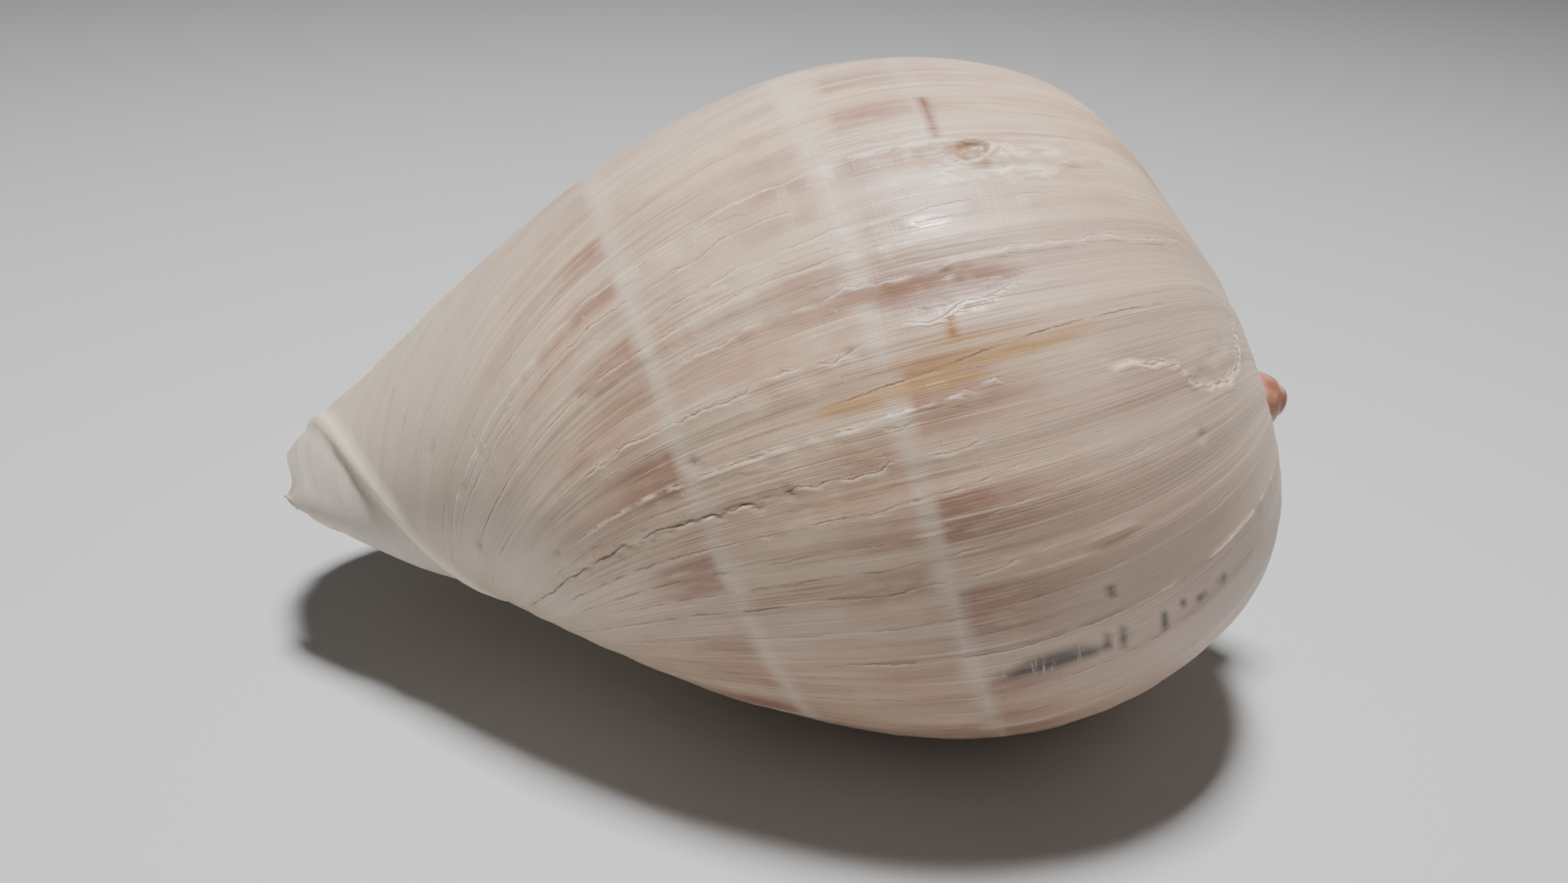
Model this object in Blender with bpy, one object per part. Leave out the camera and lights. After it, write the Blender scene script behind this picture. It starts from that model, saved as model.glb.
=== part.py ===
"""Melon shell: a large, thin-walled, right-handed sea snail shell lying on its opening.

The shell is one grown piece.  Its outline is carried back round the shell axis while it shrinks by
a constant rate per radian, which is how such a shell grows.  Lengths are millimetres until the
vertices are written in metres.  In the shell's own frame the axis is z, the apex is at z = 0 and
the siphon end is near z = -213.  Looking from the apex, angles run anticlockwise, back in time.
"""
import math

import bmesh
import bpy
import numpy as np
from mathutils import Matrix

MM = 0.001

# Outline of the last whorl in its half plane through the axis, as radius and height at angle 0.
# It runs from the seam beside the spire, over the shoulder and the belly, to the fasciole ridge.
WHORL_OUTLINE = [
    (16.0, -4.5), (24.0, -4.5), (34.0, -5.0), (47.0, -10.5), (75.0, -28.0),
    (90.2, -77.5), (75.2, -126.0), (55.4, -162.0), (35.2, -189.0), (25.2, -200.0),
]
# From the ridge, over the fasciole band to the siphon edge, and in to the end of the pillar.
FASCIOLE_OUTLINE = [(22.3, -202.3), (20.2, -206.6), (17.8, -211.0), (15.6, -214.4), (12.8, -216.0)]
PILLAR_END_OUTLINE = [(10.2, -213.4), (7.8, -206.0), (5.5, -198.0), (4.0, -186.0)]
AXIS_FOOT = -172.0
AXIS_TOP = -2.0

# Growth: the outline shrinks by these rates for each radian that it is carried back.
RADIAL_RATE = 0.116
AXIAL_RATE = 0.080
SHOULDER_LIFT = 5.2
SHOULDER_LEVEL = -12.0
SHOULDER_REACH = 14.0

# Growth line: how far it runs ahead or behind, in degrees, at a height of the outline.  The
# newest lines reach further forward at the ridge, where the lip flares into a corner.
LIP_ANGLE = -100.0
LINE_LEAD = 9.0
NOTCH_SWEEP = 72.0
NOTCH_LEVEL = 200.0
NOTCH_FADE = 24.0
BAND_SWEEP = 30.0
BAND_LEVEL = 202.0
BAND_REACH = 11.0
CORNER_REACH = 20.0
CORNER_TOP = 165.0
CORNER_FADE = 80.0
CORNER_FLARE = 4.5
SUTURE_SWEEP = 20.0
SUTURE_FADE = 25.0
SWEEP_TOP = 8.0
SWEEP_FOOT = 202.0

# Walls and hollow.
WALL = 2.6
CALLUS = 0.7
HOLLOW_FRONT = -20.0
HOLLOW_END = 330.0
HOLLOW_CLEAR = 8.0
CLEAR_ANGLE = 16.0
CORNER_TRIM = 8
CORNER_START = 2
HOLLOW_FOOT = [
    (31.0, -187.0), (22.0, -186.0), (13.0, -181.0), (7.0, -173.0), (4.0, -163.0), (3.0, -150.0),
    (3.0, -138.0),
]

# Siphon canal: x, y, height, half width and half depth of the rings of a channel that leaves
# the hollow in front.
CANAL_RINGS = [
    (16.0, -18.0, -160.0, 12.0, 12.0), (13.0, -13.0, -178.0, 12.0, 11.5),
    (9.0, -9.0, -192.0, 12.0, 10.0), (5.0, -7.0, -204.0, 12.5, 9.0),
    (4.0, -7.0, -212.0, 12.0, 8.5), (4.0, -7.0, -228.0, 12.0, 9.0),
]
CANAL_SIDES = 20

# Columella: a twisted pillar near the axis with three oblique folds.
PILLAR_TOP = -88.0
PILLAR_FOOT = -203.0
PILLAR_RADIUS_TOP = 9.5
PILLAR_RADIUS_FOOT = 5.2
PILLAR_SWING = 8.8
PILLAR_SWING_ANGLE = 31.0
FOLD_LEVELS = (-143.0, -158.0, -173.0)
FOLD_HEIGHT = 2.6
FOLD_WIDTH = 3.6
FOLD_START = -150.0
PILLAR_FOLD_FOOT = 0.9
PILLAR_FOLD_FADE = 0.15
PILLAR_TIP = 0.93
PILLAR_TIP_ROUND = 0.9
PILLAR_SLOPE = 0.75
PILLAR_SLOPE_START = 0.8

# Protoconch: the smooth first whorls, a blunt nub at the apex.
NUB_RADIUS = 7.4
NUB_HEIGHT = 8.2
NUB_CENTRE = -0.8
NUB_TAPER = 0.28

# Mesh density.
TURN = 2.0 * math.pi
WELD = 1e-4
SPIRE_TURNS = 2
TURN_STEPS = 48
OUTLINE_STEPS = 26
SUTURE_STEP = 4
HOLLOW_STEPS = 34
PILLAR_STEPS = 34
PILLAR_SIDES = 20
LIP_SIDE_POINTS = 22
OLD_SIDE_POINTS = 14
OLD_SIDE_END = 44

# Resting pose: the shell axis lies close to X, apex towards +X.  The lip and the belly, on which
# it rests, are worn flat by the depth given.
REST_SPIN = -28.1
REST_PITCH = -11.1
REST_YAW = 0.0
WORN_FLAT = 0.25

SHELL_COLOUR = (0.66, 0.55, 0.45, 1.0)


def basis_curve(points, count):
    """Clamped cubic B-spline through the span of the control points, as count + 1 points."""
    control = np.array(points, float)
    degree = 3
    inner = len(control) - degree
    knots = np.concatenate([np.zeros(degree), np.linspace(0.0, 1.0, inner + 1), np.ones(degree)])
    values = []
    for t in np.linspace(0.0, 1.0, count + 1):
        span = min(int(t * inner), inner - 1) + degree
        local = control[span - degree:span + 1].copy()
        for level in range(1, degree + 1):
            for k in range(degree, level - 1, -1):
                index = span - degree + k
                width = knots[index + degree + 1 - level] - knots[index]
                ratio = (t - knots[index]) / width
                local[k] = (1.0 - ratio) * local[k - 1] + ratio * local[k]
        values.append(local[degree])
    return np.array(values)


def smoothstep(x):
    """Ease from 0 to 1."""
    x = np.clip(x, 0.0, 1.0)
    return x * x * (3.0 - 2.0 * x)


def line_lead(height):
    """Angle in radians by which a growth line leads at a height of the outline."""
    below = -np.asarray(height, float)
    depth = np.clip(below, SWEEP_TOP, SWEEP_FOOT)
    notch = NOTCH_SWEEP * np.exp((depth - NOTCH_LEVEL) / NOTCH_FADE)
    notch = notch + BAND_SWEEP * smoothstep((below - BAND_LEVEL) / BAND_REACH)
    suture = SUTURE_SWEEP * np.exp(-depth / SUTURE_FADE)
    return np.radians(LINE_LEAD + notch - suture)


def carry(outline, age, lead_scale=1.0):
    """Carry outline points back by an age in radians: returns radius, angle and height."""
    below = -outline[:, 1] * lead_scale
    angle = math.radians(LIP_ANGLE) + age + line_lead(-below)
    corner = smoothstep((below - CORNER_TOP) / (BAND_LEVEL - CORNER_TOP))
    corner = corner - smoothstep((below - BAND_LEVEL) / BAND_REACH)
    newest = smoothstep(1.0 - age / math.radians(CORNER_FADE))
    angle = angle - math.radians(CORNER_REACH) * corner * newest
    flare = CORNER_FLARE * corner ** 2 * newest
    radial = np.exp(-RADIAL_RATE * angle)
    axial = np.exp(-AXIAL_RATE * angle)
    bump = np.exp(-(((outline[:, 1] - SHOULDER_LEVEL) / SHOULDER_REACH) ** 2))
    lift = -SHOULDER_LIFT * np.cos(angle) * bump * radial
    return np.stack([outline[:, 0] * radial + flare, angle, outline[:, 1] * axial + lift],
                    axis=1)


def to_space(polar):
    """Turn radius, angle and height into x, y, z of the shell's own frame."""
    radius, angle, height = polar[:, 0], polar[:, 1], polar[:, 2]
    return np.stack([radius * np.cos(angle), radius * np.sin(angle), height], axis=1)


def growth_line(outline, age):
    """One growth line of the outside, its first point seated on the whorl before it."""
    row = carry(outline, age)
    seat = carry(outline[:SUTURE_STEP + 1], age + TURN)[SUTURE_STEP]
    share = (1.0 - np.arange(SUTURE_STEP) / SUTURE_STEP) ** 2
    row[:SUTURE_STEP, 0] += share * (seat[0] - row[0, 0])
    row[:SUTURE_STEP, 2] += share * (seat[2] - row[0, 2])
    return row


def offset_curve(curve, distance):
    """Move the points of a radius-height curve towards its right-hand side by a distance."""
    ahead = np.gradient(curve, axis=0)
    length = np.maximum(np.hypot(ahead[:, 0], ahead[:, 1]), 1e-9)
    side = np.stack([ahead[:, 1], -ahead[:, 0]], axis=1) / length[:, None]
    return curve + distance * side


class SolidBuilder:
    """Collects rows of points and joins them into one closed mesh."""

    def __init__(self):
        self.mesh = bmesh.new()

    def add_row(self, points):
        """Add a row of vertices."""
        return [self.mesh.verts.new(point) for point in points]

    def add_face(self, corners):
        """Add a face, leaving out corners that fall on one another."""
        kept = []
        for vert in corners:
            if all((vert.co - other.co).length > WELD for other in kept):
                kept.append(vert)
        if len(kept) > 2:
            self.mesh.faces.new(kept)

    def bridge(self, row_a, row_b):
        """Faces between two rows of equal length."""
        for k in range(len(row_a) - 1):
            self.add_face([row_a[k], row_a[k + 1], row_b[k + 1], row_b[k]])

    def bridge_loops(self, loop_a, loop_b):
        """Faces between two closed loops of equal length."""
        self.bridge(loop_a + loop_a[:1], loop_b + loop_b[:1])

    def zip_rows(self, row_a, row_b):
        """Triangles between two rows of unlike length."""
        i = 0
        j = 0
        while i < len(row_a) - 1 or j < len(row_b) - 1:
            share_a = (i + 1) / max(len(row_a) - 1, 1)
            share_b = (j + 1) / max(len(row_b) - 1, 1)
            if j == len(row_b) - 1 or (i < len(row_a) - 1 and share_a <= share_b):
                self.add_face([row_a[i], row_a[i + 1], row_b[j]])
                i += 1
            else:
                self.add_face([row_a[i], row_b[j + 1], row_b[j]])
                j += 1

    def fan(self, loop):
        """Close a loop with triangles round its middle."""
        middle = sum((np.array(vert.co) for vert in loop), np.zeros(3)) / len(loop)
        centre = self.mesh.verts.new(middle)
        for k, vert in enumerate(loop):
            self.add_face([vert, loop[(k + 1) % len(loop)], centre])

    def finish(self, name, matrix):
        """Weld, triangulate, turn the faces outwards and return a new object in metres."""
        bmesh.ops.remove_doubles(self.mesh, verts=self.mesh.verts, dist=WELD)
        bmesh.ops.triangulate(self.mesh, faces=self.mesh.faces)
        bmesh.ops.recalc_face_normals(self.mesh, faces=self.mesh.faces)
        bmesh.ops.transform(self.mesh, matrix=matrix, verts=self.mesh.verts)
        data = bpy.data.meshes.new(name)
        self.mesh.to_mesh(data)
        self.mesh.free()
        return bpy.data.objects.new(name, data)


def build_outside(matrix):
    """The full outer form, solid to the axis, with a step where the lip ends."""
    outline = np.concatenate([basis_curve(WHORL_OUTLINE, OUTLINE_STEPS),
                              np.array(FASCIOLE_OUTLINE + PILLAR_END_OUTLINE)])
    solid = SolidBuilder()
    foot = np.array([[0.0, 0.0, AXIS_FOOT]])
    top = np.array([[0.0, 0.0, AXIS_TOP]])
    turns = []
    for turn in range(SPIRE_TURNS + 1):
        rows = []
        for age in np.linspace(0.0, TURN, TURN_STEPS + 1):
            points = to_space(growth_line(outline, age + turn * TURN))
            if turn == 0:
                points = np.concatenate([points, foot])
            else:
                points = points[:SUTURE_STEP + 1]
            if turn == SPIRE_TURNS:
                points = np.concatenate([top, points])
            rows.append(solid.add_row(points))
        for before, after in zip(rows[:-1], rows[1:]):
            solid.bridge(before, after)
        turns.append(rows)
    solid.zip_rows(turns[0][0], turns[0][-1][SUTURE_STEP:])
    solid.zip_rows(turns[-1][0][:2], turns[-1][-1])
    return solid.finish("outside", matrix)


def meeting(curve_a, curve_b):
    """First crossing of two radius-height curves: the segment of each that it lies on."""
    for i in range(len(curve_a) - 1):
        ahead_a = curve_a[i + 1] - curve_a[i]
        for j in range(len(curve_b) - 1):
            ahead_b = curve_b[j + 1] - curve_b[j]
            cross = ahead_a[0] * ahead_b[1] - ahead_a[1] * ahead_b[0]
            if abs(cross) < 1e-9:
                continue
            gap = curve_b[j] - curve_a[i]
            share_a = (gap[0] * ahead_b[1] - gap[1] * ahead_b[0]) / cross
            share_b = (gap[0] * ahead_a[1] - gap[1] * ahead_a[0]) / cross
            if 0.0 <= share_a < 1.0 and 0.0 <= share_b < 1.0:
                return i, j
    return 0, 0


def resample(polar, count):
    """Spread count points evenly along a curve given as radius, angle and height."""
    step = np.hypot(np.diff(polar[:, 0]), np.diff(polar[:, 2]))
    along = np.concatenate([[0.0], np.cumsum(step)])
    places = np.linspace(0.0, along[-1], count)
    return np.stack([np.interp(places, along, polar[:, k]) for k in range(3)], axis=1)


def hollow_loop(outline, age):
    """Outline of the hollow at an age: lip side, canal end, pillar side, wall of the old whorl."""
    scale = math.exp(-RADIAL_RATE * (math.radians(LIP_ANGLE) + age))
    lip_side = carry(outline, age)
    lip_side[:, [0, 2]] = offset_curve(lip_side[:, [0, 2]], WALL * scale)
    old_side = carry(outline, age + TURN, math.exp(-AXIAL_RATE * TURN))
    clearance = CALLUS + HOLLOW_CLEAR * float(smoothstep(-age / math.radians(CLEAR_ANGLE)))
    old_side[:, [0, 2]] = offset_curve(old_side[:, [0, 2]], -clearance)
    old_side[:, 1] -= TURN
    first, last = meeting(lip_side[:, [0, 2]], old_side[:, [0, 2]])
    trim = CORNER_START + int(round(CORNER_TRIM * float(smoothstep(-age / math.radians(CLEAR_ANGLE)))))
    lip_side = lip_side[first + trim:]
    old_side = old_side[last + trim:OLD_SIDE_END]
    canal_side = carry(np.array(HOLLOW_FOOT), age)
    lip_side = lip_side[lip_side[:, 2] > canal_side[0, 2]]
    return np.concatenate([resample(lip_side, LIP_SIDE_POINTS), canal_side,
                           resample(old_side[::-1], OLD_SIDE_POINTS)])


def build_hollow(matrix):
    """The space inside the last whorl, open at the lip and tapering back round the axis."""
    outline = basis_curve(WHORL_OUTLINE, OUTLINE_STEPS * 2)
    solid = SolidBuilder()
    loops = []
    for age in np.radians(np.linspace(HOLLOW_FRONT, HOLLOW_END, HOLLOW_STEPS + 1)):
        loops.append(solid.add_row(to_space(hollow_loop(outline, age))))
    for before, after in zip(loops[:-1], loops[1:]):
        solid.bridge_loops(before, after)
    solid.fan(loops[0])
    solid.fan(loops[-1])
    return solid.finish("hollow", matrix)


def build_canal(matrix):
    """The siphon canal: a channel from the hollow out through the notch."""
    solid = SolidBuilder()
    rings = []
    for centre_x, centre_y, height, half_width, half_depth in CANAL_RINGS:
        ring = []
        for side in range(CANAL_SIDES):
            angle = TURN * side / CANAL_SIDES
            ring.append((centre_x + half_width * math.cos(angle),
                         centre_y + half_depth * math.sin(angle), height))
        rings.append(solid.add_row(ring))
    for above, below in zip(rings[:-1], rings[1:]):
        solid.bridge_loops(above, below)
    solid.fan(rings[0])
    solid.fan(rings[-1])
    return solid.finish("canal", matrix)


def build_pillar(matrix):
    """The columella: a tapering pillar that swings out to the canal, with oblique folds."""
    solid = SolidBuilder()
    rings = []
    for height in np.linspace(PILLAR_TOP, PILLAR_FOOT, PILLAR_STEPS + 1):
        down = (height - PILLAR_TOP) / (PILLAR_FOOT - PILLAR_TOP)
        radius = PILLAR_RADIUS_TOP + (PILLAR_RADIUS_FOOT - PILLAR_RADIUS_TOP) * down
        tip = max(0.0, (down - PILLAR_TIP) / (1.0 - PILLAR_TIP))
        radius *= math.sqrt(1.0 - PILLAR_TIP_ROUND * tip ** 2)
        swing = PILLAR_SWING * down ** 2
        swing_angle = math.radians(PILLAR_SWING_ANGLE)
        slope = PILLAR_SLOPE * float(smoothstep((down - PILLAR_SLOPE_START) /
                                                (1.0 - PILLAR_SLOPE_START)))
        ring = []
        for side in range(PILLAR_SIDES):
            angle = TURN * side / PILLAR_SIDES
            back = (angle - math.radians(FOLD_START)) % TURN + math.radians(FOLD_START)
            bulge = 0.0
            for level in FOLD_LEVELS:
                crest = level * math.exp(-AXIAL_RATE * back)
                bulge += FOLD_HEIGHT * math.exp(-(((height - crest) / FOLD_WIDTH) ** 2))
            share = float(smoothstep((PILLAR_FOLD_FOOT - down) / PILLAR_FOLD_FADE))
            reach = radius + bulge * share
            across = swing * math.cos(swing_angle) + reach * math.cos(angle)
            drop = slope * (across - swing * math.cos(swing_angle))
            ring.append((across, swing * math.sin(swing_angle) + reach * math.sin(angle),
                         height - drop))
        rings.append(solid.add_row(ring))
    for above, below in zip(rings[:-1], rings[1:]):
        solid.bridge_loops(above, below)
    solid.fan(rings[0])
    solid.fan(rings[-1])
    return solid.finish("pillar", matrix)


def build_nub(matrix):
    """The protoconch: a blunt round nub."""
    mesh = bmesh.new()
    bmesh.ops.create_uvsphere(mesh, u_segments=20, v_segments=12, radius=1.0)
    for vert in mesh.verts:
        taper = 1.0 - NUB_TAPER * max(0.0, vert.co.z)
        vert.co.x *= taper
        vert.co.y *= taper
    squash = Matrix.Diagonal((NUB_RADIUS, NUB_RADIUS, NUB_HEIGHT, 1.0))
    place = Matrix.Translation((0.0, 0.0, NUB_CENTRE)) @ squash
    bmesh.ops.transform(mesh, matrix=matrix @ place, verts=mesh.verts)
    data = bpy.data.meshes.new("nub")
    mesh.to_mesh(data)
    mesh.free()
    return bpy.data.objects.new("nub", data)


def resting_matrix():
    """Lay the shell down: its axis to +X, turned about it, pitched, and scaled to metres."""
    to_x = Matrix(((0.0, 0.0, 1.0), (0.0, -1.0, 0.0), (1.0, 0.0, 0.0))).to_4x4()
    spin = Matrix.Rotation(math.radians(REST_SPIN), 4, "X")
    pitch = Matrix.Rotation(math.radians(REST_PITCH), 4, "Y")
    yaw = Matrix.Rotation(math.radians(REST_YAW), 4, "Z")
    scale = Matrix.Scale(MM, 4)
    return yaw @ pitch @ spin @ to_x @ scale


def shell_material():
    """Aged, satin shell."""
    material = bpy.data.materials.new("aged_shell")
    material.use_nodes = True
    surface = material.node_tree.nodes["Principled BSDF"]
    surface.inputs["Base Color"].default_value = SHELL_COLOUR
    surface.inputs["Roughness"].default_value = 0.42
    surface.inputs["Metallic"].default_value = 0.0
    return material


def add_boolean(target, operation, cutter):
    """Join or cut the target with another solid."""
    modifier = target.modifiers.new(operation.lower() + "_" + cutter.name, "BOOLEAN")
    modifier.operation = operation
    modifier.object = cutter
    modifier.solver = "MANIFOLD"


def build_ground(low, high):
    """A slab that wears flat what the shell rests on, and the shift that brings it to the origin."""
    floor = low[2] + WORN_FLAT * MM
    size = np.array([high[0] - low[0], high[1] - low[1], high[2] - low[2]]) * 2.0
    middle = np.array([(low[0] + high[0]) / 2.0, (low[1] + high[1]) / 2.0, floor - size[2] / 2.0])
    place = Matrix.Translation(middle) @ Matrix.Diagonal((size[0], size[1], size[2], 1.0))
    mesh = bmesh.new()
    bmesh.ops.create_cube(mesh, size=1.0, matrix=place)
    data = bpy.data.meshes.new("ground")
    mesh.to_mesh(data)
    mesh.free()
    return bpy.data.objects.new("ground", data), Matrix.Translation((-middle[0], -middle[1], -floor))


def corners_of(solids):
    """Lowest and highest corner of the box round some objects."""
    points = np.array([vert.co for solid in solids for vert in solid.data.vertices])
    return points.min(axis=0), points.max(axis=0)


def main():
    """Build the shell."""
    for item in list(bpy.data.objects):
        bpy.data.objects.remove(item, do_unlink=True)
    parts = bpy.data.collections.new("melon_shell")
    cutters = bpy.data.collections.new("cutters")
    bpy.context.scene.collection.children.link(parts)
    bpy.context.scene.collection.children.link(cutters)
    matrix = resting_matrix()
    shell = build_outside(matrix)
    shell.name = "shell"
    hollow = build_hollow(matrix)
    canal = build_canal(matrix)
    pillar = build_pillar(matrix)
    nub = build_nub(matrix)
    ground, shift = build_ground(*corners_of([shell, pillar, nub]))
    shell.data.materials.append(shell_material())
    shell.data.transform(shift)
    shell.data.shade_smooth()
    parts.objects.link(shell)
    for operation, tool in (("DIFFERENCE", hollow), ("DIFFERENCE", canal), ("UNION", pillar),
                            ("UNION", nub), ("DIFFERENCE", ground)):
        cutters.objects.link(tool)
        tool.data.transform(shift)
        tool.data.shade_smooth()
        tool.hide_render = True
        tool.display_type = "WIRE"
        add_boolean(shell, operation, tool)


main()
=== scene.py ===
# %% [markdown]
# # A melon shell, from its growth law to its finish
#
# A sea snail adds to its shell at the lip, a little at a time, and the lip keeps its form while it
# grows.  So one outline, carried back round the axis while it shrinks by a constant rate, gives
# the whole shell.  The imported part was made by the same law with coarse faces.  Here it is made
# again with fine faces, so that growth steps, scars and pits have a real shape.

# %% Set up
import math

import bmesh
import bpy
import numpy as np
from mathutils import Matrix, Vector
from mathutils.kdtree import KDTree


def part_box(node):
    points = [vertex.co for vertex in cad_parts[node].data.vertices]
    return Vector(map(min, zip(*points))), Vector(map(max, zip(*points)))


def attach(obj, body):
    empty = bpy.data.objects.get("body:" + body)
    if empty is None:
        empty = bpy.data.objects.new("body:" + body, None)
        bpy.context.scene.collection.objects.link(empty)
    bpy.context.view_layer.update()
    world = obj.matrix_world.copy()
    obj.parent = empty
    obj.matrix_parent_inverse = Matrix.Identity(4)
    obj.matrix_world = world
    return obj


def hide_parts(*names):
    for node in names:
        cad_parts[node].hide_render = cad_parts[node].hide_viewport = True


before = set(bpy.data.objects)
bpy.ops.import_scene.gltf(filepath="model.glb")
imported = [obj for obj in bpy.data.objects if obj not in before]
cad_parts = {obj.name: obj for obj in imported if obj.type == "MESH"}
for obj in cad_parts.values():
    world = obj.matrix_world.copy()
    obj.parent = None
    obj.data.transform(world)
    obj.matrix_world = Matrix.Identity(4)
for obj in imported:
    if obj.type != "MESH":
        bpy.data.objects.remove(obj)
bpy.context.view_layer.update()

MM = 0.001
TURN = 2.0 * math.pi
print("nodes of the packed part:", sorted(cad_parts))

# %% [markdown]
# ## The outline
#
# The outline is given as radius and height in millimetres in a half plane through the axis.  The
# axis is z, the apex is at z = 0 and the siphon end near z = -213.  A spline through a few points
# is smooth at any fineness.  The way down the outline from the seam is called the level.

# %% Outline
WHORL_OUTLINE = [
    (16.0, -4.5), (24.0, -4.5), (34.0, -5.0), (47.0, -10.5), (75.0, -28.0),
    (90.2, -77.5), (75.2, -126.0), (55.4, -162.0), (35.2, -189.0), (25.2, -200.0),
]
FASCIOLE_OUTLINE = [(22.3, -202.3), (20.2, -206.6), (17.8, -211.0), (15.6, -214.4), (12.8, -216.0)]
PILLAR_END_OUTLINE = [(10.2, -213.4), (7.8, -206.0), (5.5, -198.0), (4.0, -186.0)]
FINER = 7
WHORL_STEPS = 26 * FINER
SUTURE_STEP = 4 * FINER
BAND_STEPS = 20
INNER_STEPS = 9


def basis_curve(points, count):
    """Clamped cubic B-spline through the span of the control points, as count + 1 points."""
    control = np.array(points, float)
    degree = min(3, len(control) - 1)
    inner = len(control) - degree
    knots = np.concatenate([np.zeros(degree), np.linspace(0.0, 1.0, inner + 1), np.ones(degree)])
    values = []
    for t in np.linspace(0.0, 1.0, count + 1):
        span = min(int(t * inner), inner - 1) + degree
        local = control[span - degree:span + 1].copy()
        for level in range(1, degree + 1):
            for k in range(degree, level - 1, -1):
                index = span - degree + k
                width = knots[index + degree + 1 - level] - knots[index]
                ratio = (t - knots[index]) / width
                local[k] = (1.0 - ratio) * local[k - 1] + ratio * local[k]
        values.append(local[degree])
    return np.array(values)


whorl = basis_curve(WHORL_OUTLINE, WHORL_STEPS)
band = basis_curve(WHORL_OUTLINE[-1:] + FASCIOLE_OUTLINE, BAND_STEPS)[1:]
inner_end = basis_curve(FASCIOLE_OUTLINE[-1:] + PILLAR_END_OUTLINE, INNER_STEPS)[1:]
outline = np.concatenate([whorl, band, inner_end])
levels = np.concatenate([[0.0], np.cumsum(np.hypot(*np.diff(outline, axis=0).T))])
RIDGE_LEVEL = levels[WHORL_STEPS]
BAND_END_LEVEL = levels[WHORL_STEPS + len(band)]
print("outline: ridge at %.0f mm, band ends at %.0f mm" % (RIDGE_LEVEL, BAND_END_LEVEL))

# %% [markdown]
# ## The growth law
#
# A growth line is the place that the lip had at one time: its points share one age, counted in
# degrees back from the lip.  Radius and height shrink by a constant rate per radian, and a line
# leads at the siphon notch and lags at the seam.

# %% Growth law
RADIAL_RATE = 0.116
AXIAL_RATE = 0.080
SHOULDER_LIFT = 5.2
SHOULDER_LEVEL = -12.0
SHOULDER_REACH = 14.0
LIP_ANGLE = -100.0
LINE_LEAD = 9.0
NOTCH_SWEEP = 72.0
NOTCH_LEVEL = 200.0
NOTCH_FADE = 24.0
BAND_SWEEP = 30.0
BAND_LEVEL = 202.0
BAND_REACH = 11.0
CORNER_REACH = 20.0
CORNER_TOP = 165.0
CORNER_FADE = 80.0
CORNER_FLARE = 4.5
SUTURE_SWEEP = 20.0
SUTURE_FADE = 25.0
SWEEP_TOP = 8.0
SWEEP_FOOT = 202.0


def smoothstep(x):
    """Ease from 0 to 1."""
    x = np.clip(x, 0.0, 1.0)
    return x * x * (3.0 - 2.0 * x)


def ramp(x, start, end):
    """Ease from 0 at the start to 1 at the end, which may be the smaller of the two."""
    return smoothstep((x - start) / (end - start))


def hump(x, centre, width):
    """A bell curve, 1 at its centre."""
    return np.exp(-(((x - centre) / width) ** 2))


def line_lead(height):
    """Angle in radians by which a growth line leads at a height of the outline."""
    below = -np.asarray(height, float)
    depth = np.clip(below, SWEEP_TOP, SWEEP_FOOT)
    notch = NOTCH_SWEEP * np.exp((depth - NOTCH_LEVEL) / NOTCH_FADE)
    notch = notch + BAND_SWEEP * smoothstep((below - BAND_LEVEL) / BAND_REACH)
    suture = SUTURE_SWEEP * np.exp(-depth / SUTURE_FADE)
    return np.radians(LINE_LEAD + notch - suture)


def carry(outline, age, lead_scale=1.0):
    """Carry outline points back by an age in radians: returns radius, angle and height."""
    below = -outline[:, 1] * lead_scale
    angle = math.radians(LIP_ANGLE) + age + line_lead(-below)
    corner = smoothstep((below - CORNER_TOP) / (BAND_LEVEL - CORNER_TOP))
    corner = corner - smoothstep((below - BAND_LEVEL) / BAND_REACH)
    newest = smoothstep(1.0 - age / math.radians(CORNER_FADE))
    angle = angle - math.radians(CORNER_REACH) * corner * newest
    flare = CORNER_FLARE * corner ** 2 * newest
    radial = np.exp(-RADIAL_RATE * angle)
    axial = np.exp(-AXIAL_RATE * angle)
    bump = hump(outline[:, 1], SHOULDER_LEVEL, SHOULDER_REACH)
    lift = -SHOULDER_LIFT * np.cos(angle) * bump * radial
    return np.stack([outline[:, 0] * radial + flare, angle, outline[:, 1] * axial + lift],
                    axis=1)


def to_space(polar):
    """Turn radius, angle and height into x, y, z of the shell's own frame."""
    radius, angle, height = polar[..., 0], polar[..., 1], polar[..., 2]
    return np.stack([radius * np.cos(angle), radius * np.sin(angle), height], axis=-1)


print("one turn back, the shell is %.2f as wide" % math.exp(-RADIAL_RATE * TURN))
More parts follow.
